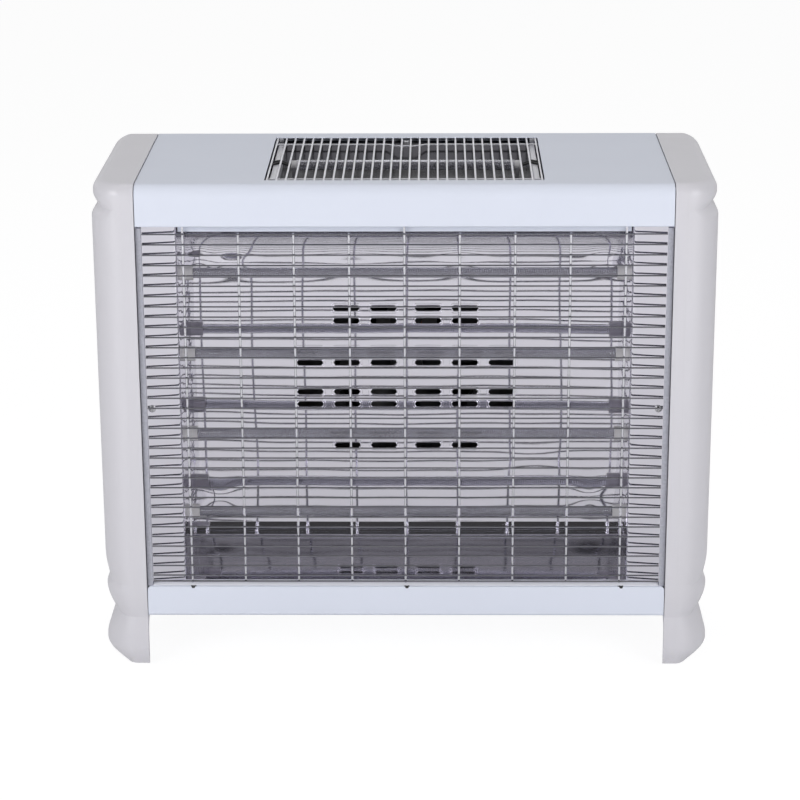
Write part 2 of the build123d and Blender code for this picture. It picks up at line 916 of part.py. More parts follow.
# Front guard: rods that run across, and stays that run up; three stays hook into the lips
rod_half = x_seam - strip_width - rod_end_gap
rod_levels = [sill_z + rod_low_gap + k * rod_pitch for k in range(rod_count)]
rod_levels = [rail_low_z, *rod_levels]
save("guard_rods", *[rod_x((-rod_half, rod_half), y_guard, z, rod_r) for z in rod_levels])
guard_stays = []
for x in stay_xs:
    z_span = (rail_low_z - rod_r, rod_levels[-1] + rod_r)
    if x in hooked_xs:
        z_span = (sill_z - stay_hook, lintel_z + stay_hook)
    guard_stays.append(rod_z(x, y_stay, z_span, stay_r))
save("guard_stays", *guard_stays)

# Reflector: one bent sheet, mirror side to the front, with the air slots in pairs of rows
flange_back_y = y_lip + sheet
flange_front_y = flange_back_y - reflector_flange
reflector_profile = bent_sheet(
    [
        (flange_front_y, lintel_z + sheet),
        (flange_back_y, lintel_z + sheet),
        (y_reflector, lintel_z + sheet - reflector_fall),
        (y_reflector, sill_z - sheet + reflector_rise),
        (y_reflector - reflector_step, sill_z - sheet + reflector_rise - reflector_step_height),
        (flange_back_y + shelf_fold_back, sill_z - sheet + shelf_fold_rise),
        (flange_back_y, sill_z - sheet),
        (flange_front_y, sill_z - sheet),
    ],
    [reflector_bend, reflector_curve, *[reflector_bend] * 4],
    bright_sheet,
)
reflector = along_x(reflector_profile, (-cheek_x, cheek_x))
air_slot = SlotOverall(slot_length, slot_height)
pair_levels = evenly(len(slots_each_side), slot_pair_pitch, fan_z)
for pair_z, half_count in zip(pair_levels, slots_each_side):
    for k in range(half_count):
        x = slot_middle / 2 + k * slot_pitch
        for place in [(side, z) for side in (-x, x) for z in about(pair_z, slot_pair_gap)]:
            reflector -= along_y(Pos(*place) * air_slot, (y_reflector, y_reflector_back))
for hole in guard_holes:
    reflector -= hole
save("reflector", reflector)

# Cheeks close the ends of the reflector; the caps of the tubes pass through them
cheek_profile = bent_sheet(
    [
        (cheek_x, y_reflector_back),
        (cheek_x, y_cheek),
        (x_cover, y_cheek),
        (x_cover, y_cheek + cheek_return),
    ],
    [small_bend, small_bend],
    bright_sheet,
)
cheek = along_z(cheek_profile, (sill_z, lintel_z))
cheek -= block(
    (x_cover - small_bend, x_cover),
    (y_cheek_back, y_cheek + cheek_return),
    about(cross_screw_z, tab_height + 2 * tab_clear),
)
cheek -= rod_y(cross_screw_x, cross_shank_span, cross_screw_z, screw_r + screw_clear)
tube_levels = evenly(tube_count, tube_pitch, tube_middle_z)
for z in tube_levels:
    cheek -= rod_x((cheek_x, cheek_x + bright_sheet), y_tube, z, cap_r + cap_clear)
save("right_cheek", cheek)
save("left_cheek", other_side(cheek))

# Cross-head screws: one in each cheek and one behind the top tube
cross_recess = Box(cross_slot_length, cross_slot_width, 2 * cross_slot_depth)
cross_recess += Box(cross_slot_width, cross_slot_length, 2 * cross_slot_depth)
cheek_screw = rod_y(cross_screw_x, cross_shank_span, cross_screw_z, screw_r)
cheek_screw += rod_y(
    cross_screw_x, (y_cheek - cross_screw_head, y_cheek), cross_screw_z, cross_screw_head_r
)
cheek_screw -= Pos(cross_screw_x, y_cheek - cross_screw_head, cross_screw_z) * Rot(90, 0, 0) * cross_recess
tray_screw_y = top_half - (tray_flange + tray_bend) / 2
tray_screw = rod_z(0, tray_screw_y, (tray_z - cross_screw_grip, tray_z), screw_r)
tray_screw += rod_z(0, tray_screw_y, (tray_z, tray_z + cross_screw_head), cross_screw_head_r)
tray_screw -= Pos(0, tray_screw_y, tray_z + cross_screw_head) * cross_recess
save("cross_head_screws", cheek_screw, other_side(cheek_screw), tray_screw)

# Front tubes, the ceramic caps on their ends, and the heating coil in each
cap_retainer_profile = bent_sheet(
    [
        (cheek_x + bright_sheet, y_tube + retainer_width / 2 + retainer_foot),
        (cheek_x + bright_sheet, y_tube + retainer_width / 2),
        (x_cap_back, y_tube + retainer_width / 2),
        (x_cap_back, y_tube - retainer_width / 2),
    ],
    [retainer_bend, retainer_bend],
    sheet,
)
cap_retainer = along_z(
    cap_retainer_profile, (tube_levels[0] - retainer_overrun, tube_levels[-1] + retainer_overrun)
)
caps = []
coils = []
for number, z in enumerate(tube_levels, start=1):
    quartz = rod_x((-x_tube_end, x_tube_end), y_tube, z, tube_r)
    save(f"quartz_tube_{number}", quartz - rod_x((-x_tube_end, x_tube_end), y_tube, z, tube_bore_r))
    cap = rod_x((x_cap_front, x_cap_back), y_tube, z, cap_r)
    cap -= rod_x((x_cap_front, x_tube_end), y_tube, z, tube_r)
    cap -= rod_x((x_tube_end, x_cap_back), y_tube, z, pin_r + pin_clear)
    caps.append(cap)
    coil = rod_x((coil_short - x_tube_end, x_tube_end - coil_short), y_tube, z, coil_r)
    coils.append(coil + rod_x((-x_bus, x_bus), y_tube, z, pin_r))
    cap_retainer -= rod_x((x_cap_back, x_cap_back + sheet), y_tube, z, pin_r + pin_clear)
save("heating_coils", *coils)
save("right_tube_caps", *caps)
save("left_tube_caps", *[other_side(cap) for cap in caps])
save("right_cap_retainer", cap_retainer)
save("left_cap_retainer", other_side(cap_retainer))
bus_low_z = tube_levels[0] - bus_overrun
bus_bar = block(
    (x_bus, x_bus + bright_sheet), about(y_tube, bus_width), (bus_low_z, tube_levels[-1] + bus_overrun)
)
save("bus_bars", bus_bar, other_side(bus_bar))

# Top heater: rods welded on two cross wires, the rear one bent around the screw
top_rod_xs = evenly(top_rod_count, top_rod_pitch)
save("top_grille_rods", *[rod_y(x, (-top_half, top_half), top_rod_z, top_rod_r) for x in top_rod_xs])
cross_half = top_rod_xs[-1] + 2 * top_rod_r
dip_start = cross_dip_half + cross_dip_run
rear_cross = round_wire(
    [
        (-cross_half, cross_wire_y, cross_wire_z),
        (-dip_start, cross_wire_y, cross_wire_z),
        (-cross_dip_half, cross_wire_y - cross_dip, cross_wire_z),
        (cross_dip_half, cross_wire_y - cross_dip, cross_wire_z),
        (dip_start, cross_wire_y, cross_wire_z),
        (cross_half, cross_wire_y, cross_wire_z),
    ],
    cross_bend,
    top_rod_r,
)
front_cross = rod_x((-cross_half, cross_half), -cross_wire_y, cross_wire_z, top_rod_r)
save("top_cross_wires", rear_cross, front_cross)

# White plates beside the top heater, hung from the cover by a tab at each end
side_plate_profile = bent_sheet(
    [
        (side_plate_out, side_plate_z),
        (side_plate_in, side_plate_z),
        (side_plate_in, side_plate_z - side_plate_height),
    ],
    [side_plate_bend],
    sheet,
)
side_plate = along_y(side_plate_profile, (-top_half, top_half))
for side in (-1, 1):
    side_plate += block(
        (side_plate_in + side_plate_bend, side_plate_out),
        sorted((side * (top_half - sheet), side * top_half)),
        (side_plate_z - sheet, cover_under),
    )
save("top_side_plates", side_plate, other_side(side_plate))

# Polished tray under the top tube, held between the side plates
tray_half = tray_floor / 2
tray_profile = bent_sheet(
    [
        (top_half, tray_z),
        (top_half - tray_flange, tray_z),
        (tray_half, tray_low_z),
        (-tray_half, tray_low_z),
        (tray_flange - top_half, tray_z),
        (-top_half, tray_z),
    ],
    [tray_bend, tray_bend, tray_bend, tray_bend],
    bright_sheet,
)
tray = along_x(tray_profile, (-side_plate_in, side_plate_in))
tray -= rod_z(0, tray_screw_y, (tray_z - sheet, tray_z), screw_r + screw_clear)
save("top_tray", tray)

# Top tube with its coil, the ceramic plugs in its ends, and the cradles that carry the plugs
top_tube = rod_x((-top_tube_half, top_tube_half), top_tube_y, top_tube_z, tube_r)
top_bore = rod_x((-top_tube_half, top_tube_half), top_tube_y, top_tube_z, tube_bore_r)
save("top_quartz_tube", top_tube - top_bore)
x_neck = top_tube_half - plug_neck
x_plug_end = top_tube_half + plug_length
plug = rod_x((top_tube_half, x_plug_end), top_tube_y, top_tube_z, plug_r)
plug += rod_x((x_neck, top_tube_half), top_tube_y, top_tube_z, tube_bore_r)
save("top_tube_plugs", plug, other_side(plug))
save("top_heating_coil", rod_x((-x_neck, x_neck), top_tube_y, top_tube_z, coil_r))
cradle = block(
    (top_tube_half + sheet, x_plug_end - sheet),
    about(top_tube_y, cradle_width),
    (tray_low_z, top_tube_z - cradle_drop),
)
cradle -= rod_x((top_tube_half, x_plug_end), top_tube_y, top_tube_z, plug_r)
save("top_tube_cradles", cradle, other_side(cradle))

# Black leads from the plugs over the side plates, down to a ceramic connector on each side
connector_z = side_plate_z - connector_drop
connector = block(
    (side_plate_in + sheet, top_lead_x + 2 * top_lead_r),
    about(0, connector_width),
    (connector_z - connector_height, connector_z),
)
save("top_connectors", connector, other_side(connector))
lead_over_z = side_plate_z + top_lead_r
top_leads = []
for side in (-1, 1):
    start_y = top_tube_y + side * top_lead_start
    end_y = side * top_lead_end
    lead = round_wire(
        [
            (x_plug_end, start_y, top_tube_z),
            (x_plug_end + 2 * top_lead_r, start_y, top_tube_z),
            (side_plate_in - top_lead_r, (start_y + end_y) / 2, lead_over_z),
            (top_lead_x, end_y, lead_over_z),
            (top_lead_x, end_y, connector_z),
        ],
        top_lead_bend,
        top_lead_r,
    )
    top_leads += [lead, other_side(lead)]
save("top_leads", *top_leads)

# Duct behind the reflector, open to its air slots, with a collar around the fan
duct = block(about(0, duct_length), (y_reflector_back, duct_back_y), about(fan_z, duct_height))
duct += block(
    about(0, duct_length + 2 * duct_flange),
    (y_reflector_back, y_reflector_back + sheet),
    about(fan_z, duct_height + 2 * duct_flange),
)
duct -= block(
    about(0, duct_length - 2 * sheet),
    (y_reflector_back, duct_back_y - sheet),
    about(fan_z, duct_height - 2 * sheet),
)
collar_span = (duct_back_y - sheet, duct_back_y + collar_length)
duct += rod_y(0, collar_span, fan_z, fan_r + duct_clear + collar_wall)
duct -= rod_y(0, collar_span, fan_z, fan_r + duct_clear)
save("fan_duct", duct)


def blade_section(radius, chord, pitch):
    """Curved section of a fan blade at one radius from the axis, with its chord turned by the pitch."""
    half = chord / 2
    upper = ThreePointArc((-half, 0), (0, blade_rise), (half, 0))
    lower = ThreePointArc(
        (half, -blade_thickness), (0, blade_rise - blade_thickness), (-half, -blade_thickness)
    )
    edges = [upper, Line(upper @ 1, lower @ 0), lower, Line(lower @ 1, upper @ 0)]
    level = Plane(origin=(0, 0, radius), x_dir=(1, 0, 0), z_dir=(0, 0, 1))
    return level * Rot(0, 0, pitch) * make_face(edges)


# Fan blade: a hub with curved blades lofted from root to tip
blade = loft(
    [
        blade_section(fan_hub_r * 0.8, blade_root_chord, blade_root_pitch),
        blade_section(fan_r, blade_tip_chord, blade_tip_pitch),
    ]
)
blade &= rod_y(0, about(0, 2 * fan_hub_length), 0, fan_r)
fan_blade = rod_y(0, about(0, fan_hub_length), 0, fan_hub_r)
for k in range(blade_count):
    fan_blade += Rot(0, k * 360 / blade_count, 0) * blade
fan_blade -= rod_y(0, about(0, fan_hub_length), 0, shaft_r)
save("fan_blade", Pos(0, fan_y, fan_z) * fan_blade)

# Motor: shaft and rotor turn in two bearing bridges that are bolted on the laminated core
shaft_back_y = bridge_back_y + (bearing_length - bridge_sheet) / 2 + bearing_clear
save("fan_shaft", rod_y(0, (shaft_front_y, shaft_back_y), fan_z, shaft_r))
core_span = (core_front_y, core_back_y)
save("motor_rotor", rod_y(0, core_span, fan_z, rotor_r) - rod_y(0, core_span, fan_z, shaft_r))
core_low_z = fan_z - core_hole_r - core_web
coil_window_z = fan_z + core_hole_r + core_web
core_bar_z = coil_window_z + coil_window
core_high_z = core_bar_z + core_bar
core = block(about(0, 2 * core_half_width), core_span, (core_low_z, core_high_z))
core -= block(about(0, 2 * coil_window_half), core_span, (coil_window_z, core_bar_z))
core -= rod_y(0, core_span, fan_z, core_hole_r)
winding = block(
    about(0, 2 * winding_half),
    (core_front_y - winding_over, core_back_y + winding_over),
    (core_bar_z - winding_over, core_high_z + winding_over),
)
winding -= block(about(0, 2 * winding_half), core_span, (core_bar_z, core_high_z))
save("motor_winding", winding)
bridges = []
for strap_y, core_y in ((bridge_front_y, core_front_y), (bridge_back_y, core_back_y)):
    inner_y = strap_y + bridge_sheet if strap_y < core_y else strap_y - bridge_sheet
    bridge = block(
        about(0, 2 * tie_x + bridge_leg), sorted((strap_y, inner_y)), about(fan_z, bridge_height)
    )
    for x in (-tie_x, tie_x):
        bridge += block(about(x, bridge_leg), sorted((strap_y, core_y)), about(fan_z, bridge_height))
    bearing_span = about((strap_y + inner_y) / 2, bearing_length)
    bridge += rod_y(0, bearing_span, fan_z, bearing_r)
    bridge -= rod_y(0, bearing_span, fan_z, shaft_r + running_clear)
    bridges.append(bridge)
bolts = []
for x in (-tie_x, tie_x):
    bolt_hole = rod_y(x, (bridge_front_y, bracket_front_y), fan_z, tie_r + tie_clear)
    core -= bolt_hole
    bracket -= bolt_hole
    bridges = [bridge - bolt_hole for bridge in bridges]
    bolt = rod_y(x, (bridge_front_y, bracket_front_y), fan_z, tie_r)
    bolt += rod_y(x, (bridge_front_y - tie_head, bridge_front_y), fan_z, tie_head_r)
    bolt += rod_y(x, (bracket_front_y, bracket_front_y + tie_head), fan_z, tie_head_r)
    bolts.append(bolt)
save("motor_core", core)
save("motor_bridges", *bridges)
save("motor_bolts", *bolts)
save("motor_bracket", bracket)

# Inlet gland for the mains lead, with its nut inside the back panel
gland = rod_y(gland_x, (y_rear, y_rear + gland_proud), gland_z, gland_flange_r)
gland += rod_y(gland_x, (y_rear - gland_inside, y_rear), gland_z, gland_r)
gland -= rod_y(gland_x, (y_rear - gland_inside, y_rear + gland_proud), gland_z, gland_bore_r)
nut_span = (y_panel_inside - gland_nut, y_panel_inside)
nut = along_y(Pos(gland_x, gland_z) * RegularPolygon(gland_flange_r, 6), nut_span)
nut -= rod_y(gland_x, nut_span, gland_z, gland_r)
save("cable_gland", gland, nut)

# Terminal block, thermal cut-out and the leads from the block
terminal_top_z = floor_top + terminal_height
terminal_block = block(
    about(terminal_x, terminal_length), about(terminal_y, terminal_width), (floor_top, terminal_top_z)
)
save("terminal_block", terminal_block)
cutout_back_y = y_reflector_back + cutout_length
save("thermal_cutout", rod_y(cutout_x, (y_reflector_back, cutout_back_y), cutout_z, cutout_r))
bus_lead_x = x_bus + bright_sheet / 2
bus_lead_z = terminal_top_z + lead_rise
cutout_lead = round_wire(
    [
        (cutout_x, terminal_y, terminal_top_z),
        (cutout_x, terminal_y, cutout_z),
        (cutout_x, cutout_back_y, cutout_z),
    ],
    lead_bend,
    lead_r,
)
bus_lead = round_wire(
    [
        (terminal_x + lead_step, terminal_y, terminal_top_z),
        (terminal_x + lead_step, terminal_y, bus_lead_z),
        (bus_lead_x, terminal_y, bus_lead_z),
        (bus_lead_x, y_tube, bus_lead_z),
        (bus_lead_x, y_tube, bus_low_z),
    ],
    lead_bend,
    lead_r,
)
save("inner_leads", cutout_lead, bus_lead)
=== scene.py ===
"""Looks of a free-standing quartz tube heater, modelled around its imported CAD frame."""

import json
import logging
import math
from dataclasses import dataclass
from enum import Enum
from typing import Any, Callable, Sequence

import bmesh
import bpy
from mathutils import Matrix, Vector

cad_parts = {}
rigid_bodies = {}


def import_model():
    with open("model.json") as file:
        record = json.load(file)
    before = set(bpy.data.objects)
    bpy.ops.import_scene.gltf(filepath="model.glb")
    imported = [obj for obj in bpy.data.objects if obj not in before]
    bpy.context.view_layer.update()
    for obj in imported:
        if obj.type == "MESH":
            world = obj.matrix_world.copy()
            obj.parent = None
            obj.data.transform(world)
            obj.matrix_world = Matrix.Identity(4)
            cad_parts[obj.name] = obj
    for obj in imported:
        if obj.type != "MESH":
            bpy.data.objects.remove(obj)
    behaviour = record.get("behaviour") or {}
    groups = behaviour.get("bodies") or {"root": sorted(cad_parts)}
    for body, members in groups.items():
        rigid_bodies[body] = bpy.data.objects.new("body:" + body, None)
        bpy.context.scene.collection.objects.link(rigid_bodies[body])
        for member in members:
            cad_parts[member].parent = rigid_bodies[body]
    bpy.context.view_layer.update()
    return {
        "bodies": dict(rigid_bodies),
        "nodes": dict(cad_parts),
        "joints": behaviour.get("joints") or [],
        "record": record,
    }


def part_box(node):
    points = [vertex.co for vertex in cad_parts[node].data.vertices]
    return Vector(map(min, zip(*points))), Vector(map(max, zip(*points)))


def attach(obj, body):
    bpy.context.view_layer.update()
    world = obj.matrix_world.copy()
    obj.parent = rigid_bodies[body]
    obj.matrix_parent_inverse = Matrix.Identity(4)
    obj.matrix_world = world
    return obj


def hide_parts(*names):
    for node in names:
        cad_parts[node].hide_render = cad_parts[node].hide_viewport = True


LOG = logging.getLogger("heater")
MM = 0.001
CASE = "case"
FRONT_TUBES = ("quartz_tube_1", "quartz_tube_2", "quartz_tube_3", "quartz_tube_4")
TOP_TUBE = "top_quartz_tube"
ORIGIN = (0.0, 0.0, 0.0)
EVEN = (1.0, 1.0, 1.0)
WHITE = (1.0, 1.0, 1.0, 1.0)
SIDES = (-1, 1)
Triple = tuple[float, float, float]
Color = Triple
Rule = Callable[[Vector, Vector], bool]


class Axis(Enum):
    """Direction that a turned piece points in, as the turn that takes +Z there."""

    X = (0.0, math.pi / 2, 0.0)
    Y = (-math.pi / 2, 0.0, 0.0)
    Z = (0.0, 0.0, 0.0)
    FRONT = (math.pi / 2, 0.0, 0.0)


# Shader maths


class Value:
    """A number that varies over a surface or a room, held as the output socket that gives it."""

    def __init__(self, nodes: "Nodes", socket: bpy.types.NodeSocket) -> None:
        """Keep the socket and the node tree that it is in."""
        self.nodes = nodes
        self.socket = socket

    def _math(self, operation: str, first: "Value | float", second: "Value | float") -> "Value":
        """Result of one Math node on two numbers."""
        node = self.nodes.add("ShaderNodeMath", {"operation": operation}, {0: first, 1: second})
        return Value(self.nodes, node.outputs[0])

    def __add__(self, other: "Value | float") -> "Value":
        """Sum."""
        return self._math("ADD", self, other)

    __radd__ = __add__

    def __sub__(self, other: "Value | float") -> "Value":
        """Difference."""
        return self._math("SUBTRACT", self, other)

    def __rsub__(self, other: "Value | float") -> "Value":
        """Difference from a plain number."""
        return self._math("SUBTRACT", other, self)

    def __mul__(self, other: "Value | float") -> "Value":
        """Product."""
        return self._math("MULTIPLY", self, other)

    __rmul__ = __mul__

    def larger(self, other: "Value | float") -> "Value":
        """The larger of two numbers."""
        return self._math("MAXIMUM", self, other)

    def sine(self) -> "Value":
        """Sine of an angle in radians."""
        return self._math("SINE", self, 0.0)

    def ramp(self, start: float, end: float, low: float = 0.0, high: float = 1.0) -> "Value":
        """Soft step from one level to another.

        Args:
            start: Where the step starts.
            end: Where the step ends.
            low: Level below the start.
            high: Level past the end.

        Returns:
            The level.
        """
        node = self.nodes.add(
            "ShaderNodeMapRange",
            {"interpolation_type": "SMOOTHSTEP"},
            {"Value": self, "From Min": start, "From Max": end, "To Min": low, "To Max": high},
        )
        return Value(self.nodes, node.outputs[0])


class Nodes:
    """Node tree that is written one node at a time."""

    def __init__(self, tree: bpy.types.NodeTree) -> None:
        """Keep the tree."""
        self.tree = tree

    def feed(self, target: bpy.types.NodeSocket, value: Any) -> None:
        """Link or set one input.

        Args:
            target: The input.
            value: A socket or a varying number, which is linked, or a plain value, which is set.
        """
        if isinstance(value, Value):
            value = value.socket
        if isinstance(value, bpy.types.NodeSocket):
            self.tree.links.new(value, target)
        else:
            target.default_value = value

    def add(self, kind: str, settings: dict[str, Any], inputs: dict[Any, Any]) -> bpy.types.Node:
        """Add one node.

        Args:
            kind: The node's type.
            settings: Its own settings, which are set first.
            inputs: The value or the link of each socket, by name or number.

        Returns:
            The node.
        """
        node = self.tree.nodes.new(kind)
        for key, value in settings.items():
            setattr(node, key, value)
        for key, value in inputs.items():
            self.feed(node.inputs[key], value)
        return node

    def ray(self, kind: str) -> Value:
        """One for rays of a kind and zero for all others."""
        return Value(self, self.add("ShaderNodeLightPath", {}, {}).outputs[f"Is {kind} Ray"])

    def seen(self) -> Value:
        """One for what the camera sees, also through glass, and zero for all other light."""
        return self.ray("Camera").larger(self.ray("Transmission"))

    def where(self, frame: str) -> bpy.types.NodeSocket:
        """Place of each point in a frame: Object or Generated."""
        return self.add("ShaderNodeTexCoord", {}, {}).outputs[frame]

    def along(self, axis: int, frame: str = "Object") -> Value:
        """One coordinate of each point: 0 for X, 1 for Y, 2 for Z."""
        return Value(self, self.add("ShaderNodeSeparateXYZ", {}, {0: self.where(frame)}).outputs[axis])


class Shader(Nodes):
    """Node tree of one material."""

    def __init__(self, name: str) -> None:
        """Start a material with its principled shader.

        Args:
            name: The material's name.
        """
        self.material = bpy.data.materials.new(name)
        self.material.use_nodes = True
        super().__init__(self.material.node_tree)
        self.surface = self.tree.nodes["Principled BSDF"]

    def place(self, stretch: Sequence[float] = EVEN) -> bpy.types.NodeSocket:
        """Object coordinates in metres, stretched along each axis."""
        inputs = {"Vector": self.where("Object"), "Scale": tuple(stretch)}
        return self.add("ShaderNodeMapping", {}, inputs).outputs[0]

    def noise(self, size: float, stretch: Sequence[float] = EVEN, detail: float = 2.0) -> Value:
        """Noise from 0 to 1, by the size of its patches in metres, its stretch and its finer octaves."""
        inputs = {"Vector": self.place(stretch), "Scale": 1 / size, "Detail": detail}
        return Value(self, self.add("ShaderNodeTexNoise", {}, inputs).outputs["Fac"])

    def cells(self, size: float) -> Value:
        """Grey from 0 to 1 of crystal-like cells, of a size in metres."""
        cells = self.add("ShaderNodeTexVoronoi", {}, {"Vector": self.place(), "Scale": 1 / size})
        return Value(self, self.add("ShaderNodeSeparateColor", {}, {0: cells.outputs["Color"]}).outputs[0])

    def ridges(self, axis: int, pitch: float) -> Value:
        """Even ridges from 0 to 1 along one axis, at a pitch in metres."""
        return (self.along(axis) * (math.tau / pitch)).sine() * 0.5 + 0.5

    def blend(
        self, share: Value, first: Color | bpy.types.NodeSocket, second: Color | bpy.types.NodeSocket
    ) -> bpy.types.NodeSocket:
        """Mix two colours.

        Args:
            share: Share of the second colour.
            first: The first colour.
            second: The second colour.

        Returns:
            The mixed colour.
        """
        node = self.add("ShaderNodeMix", {"data_type": "RGBA"}, {"Factor": share})
        for target, color in ((node.inputs[6], first), (node.inputs[7], second)):
            self.feed(target, (*color, 1.0) if isinstance(color, tuple) else color)
        return node.outputs[2]

    def bump(self, height: Value, depth: float) -> None:
        """Turn a height from 0 to 1 into the surface's relief, of a depth in metres."""
        node = self.add("ShaderNodeBump", {}, {"Height": height, "Distance": depth, "Strength": 1.0})
        self.feed(self.surface.inputs["Normal"], node.outputs[0])

    def set(self, **values: Any) -> None:
        """Set sockets of the principled shader; a name's spaces are written as underscores."""
        for key, value in values.items():
            self.feed(self.surface.inputs[key.replace("_", " ")], value)


# Finishes


@dataclass(frozen=True)
class Finish:
    """Even finish whose colour and gloss drift a little over large patches, with a fine grain."""

    name: str
    color: Color
    shade: Color
    roughness: float
    metallic: float = 0.0
    drift: float = 0.12
    patch: float = 0.09
    grain: float = 0.0012
    relief: float = 0.000012
    coat: float = 0.0
    coat_roughness: float = 0.12
    specular: float = 0.5

    def pattern(self, shader: Shader) -> Value:
        """Share of the shade, from 0 to 1."""
        return shader.noise(self.patch, detail=3.0)

    def height(self, shader: Shader) -> Value:
        """Height of the surface, from 0 to 1."""
        return shader.noise(self.grain)

    def extra(self, shader: Shader) -> None:
        """Settings that only some finishes have."""

    def build(self) -> bpy.types.Material:
        """Make the material.

        Returns:
            The material.
        """
        shader = Shader(self.name)
        share = self.pattern(shader)
        shader.set(
            Base_Color=shader.blend(share, self.color, self.shade),
            Roughness=share * self.drift + (self.roughness - self.drift / 2),
            Metallic=self.metallic,
            Coat_Weight=self.coat,
            Coat_Roughness=self.coat_roughness,
            Specular_IOR_Level=self.specular,
        )
        shader.bump(self.height(shader), self.relief)
        self.extra(shader)
        return shader.material


@dataclass(frozen=True)
class MouldedPlastic(Finish):
    """Satin moulding with a faint flow pattern, and dust low on its feet."""

    flow: Triple = (1.0, 1.0, 0.35)
    dust: Color = (0.60, 0.59, 0.57)
    dust_height: float = 0.030
    dust_speck: float = 0.004
    dust_share: float = 0.35

    def pattern(self, shader: Shader) -> Value:
        """Slow flow marks that run up the moulding."""
        return shader.noise(self.patch, self.flow, detail=3.0)

    def extra(self, shader: Shader) -> None:
        """Add the dust, which thins out above the floor.

        Args:
            shader: The material's nodes.
        """
        low = 1.0 - shader.along(2).ramp(0.0, self.dust_height)
        speck = shader.noise(self.dust_speck, detail=4.0).ramp(0.45, 0.70)
        clean = shader.surface.inputs["Base Color"].links[0].from_socket
        shader.set(Base_Color=shader.blend(low * speck * self.dust_share, clean, self.dust))


@dataclass(frozen=True)
class PolishedSheet(Finish):
    """Bright rolled sheet: a wavy mirror with fine lines along X."""

    relief: float = 0.00012
    haze: Triple = (0.25, 1.0, 1.0)
    wave: float = 0.05
    wave_stretch: Triple = (0.55, 1.0, 1.0)
    line: float = 0.0004
    line_stretch: Triple = (0.01, 1.0, 1.0)
    line_height: float = 0.000002

    def pattern(self, shader: Shader) -> Value:
        """Cloudy haze over long rolling lines."""
        return shader.noise(self.patch, self.haze, detail=4.0)

    def height(self, shader: Shader) -> Value:
        """Slow waves with rolling lines on them."""
        lines = shader.noise(self.line, self.line_stretch, detail=1.0) * (self.line_height / self.relief)
        return shader.noise(self.wave, self.wave_stretch, detail=0.0) + lines


@dataclass(frozen=True)
class RearShadedSheet(PolishedSheet):
    """Polished sheet with painted shade: its colour darkens towards the rear, where the top opening lies in
    shade.
    """

    shade_from: float = -0.045
    shade_to: float = 0.005
    shade_edge: float = 0.02

    def pattern(self, shader: Shader) -> Value:
        """Share of the painted shade, which grows towards the rear, with a cloudy edge."""
        clouds = super().pattern(shader) * self.shade_edge
        return (shader.along(1) + clouds).ramp(self.shade_from, self.shade_to)


@dataclass(frozen=True)
class Spangled(Finish):
    """Galvanised sheet with flat crystals of zinc."""

    crystal: float = 0.006

    def pattern(self, shader: Shader) -> Value:
        """Grey of the crystals, softened by haze."""
        return shader.cells(self.crystal) * 0.7 + shader.noise(self.patch) * 0.3


@dataclass(frozen=True)
class Ridged(Finish):
    """Finish with even ridges along one axis, such as stacked laminations or turns of wire."""

    axis: int = 1
    pitch: float = 0.0005

    def height(self, shader: Shader) -> Value:
        """Even ridges."""
        return shader.ridges(self.axis, self.pitch)


@dataclass(frozen=True)
class Woven(Finish):
    """Fine weave in the plane of X and Z."""

    thread: float = 0.0016

    def height(self, shader: Shader) -> Value:
        """Threads that cross."""
        return shader.ridges(0, self.thread) * 0.5 + shader.ridges(2, self.thread) * 0.5


@dataclass(frozen=True)
class Quartz(Finish):
    """Drawn quartz, almost clear, with the index of quartz."""

    clear: float = 0.92
    index: float = 1.46

    def extra(self, shader: Shader) -> None:
        """Let light through."""
        shader.set(Transmission_Weight=self.clear, IOR=self.index)


WHITE_PLASTIC = MouldedPlastic("white_plastic", (0.655, 0.645, 0.69), (0.625, 0.615, 0.655), 0.42, coat=0.15)
PAINTED_STEEL = Finish(
    "painted_steel", (0.715, 0.75, 0.85), (0.69, 0.725, 0.825), 0.4,
    drift=0.06, grain=0.0016, relief=0.00002, specular=0.22,
)
# Sill hem paint: a lighter copy of the painted steel, as painted light on the sill.
HEM_PAINTED_LIGHT = Finish("hem_paint_painted_light", (0.88, 0.885, 0.96), (0.84, 0.845, 0.92), 0.4, drift=0.06, relief=0.00002)
POLISHED = PolishedSheet(
    "polished_sheet", (0.775, 0.76, 0.825), (0.725, 0.71, 0.775), 0.045, 1.0, drift=0.04
)
# Top tray: its colour is kept dark overall and darkens further towards the rear, as painted shade of the
# shaded top opening.
TRAY_PAINTED_SHADE = RearShadedSheet(
    "polished_tray_painted_shade", (0.26, 0.25, 0.28), (0.045, 0.044, 0.05), 0.2, 1.0, drift=0.1, wave=0.03, relief=0.0012
)
# Guard rods and stays are the same chromed wire. The rods carry a darkened copy of it as painted shade, and
# the stays a lightened copy as painted light.
CHROME_PAINTED_SHADE = Finish(
    "chromed_wire", (0.40, 0.40, 0.43), (0.32, 0.32, 0.35), 0.16, 1.0, drift=0.1, patch=0.012, relief=0.000004
)
STAY_WIRE_PAINTED_LIGHT = Finish(
    "bright_wire_painted_light", (0.80, 0.80, 0.84), (0.66, 0.66, 0.70), 0.2, 1.0, drift=0.1, patch=0.012, relief=0.000004
)
ENAMEL = Finish("white_wire", (0.83, 0.83, 0.88), (0.78, 0.78, 0.83), 0.30, drift=0.08, patch=0.02)
QUARTZ = Quartz(
    "quartz", (0.80, 0.80, 0.86), (0.74, 0.74, 0.79), 0.12, drift=0.06, patch=0.02, relief=0.000004
)
COIL = Finish("heating_wire", (0.20, 0.19, 0.20), (0.11, 0.10, 0.11), 0.45, 0.7, patch=0.006)
CERAMIC = Finish("white_ceramic", (0.66, 0.65, 0.67), (0.58, 0.57, 0.58), 0.55, patch=0.006, relief=0.00003)
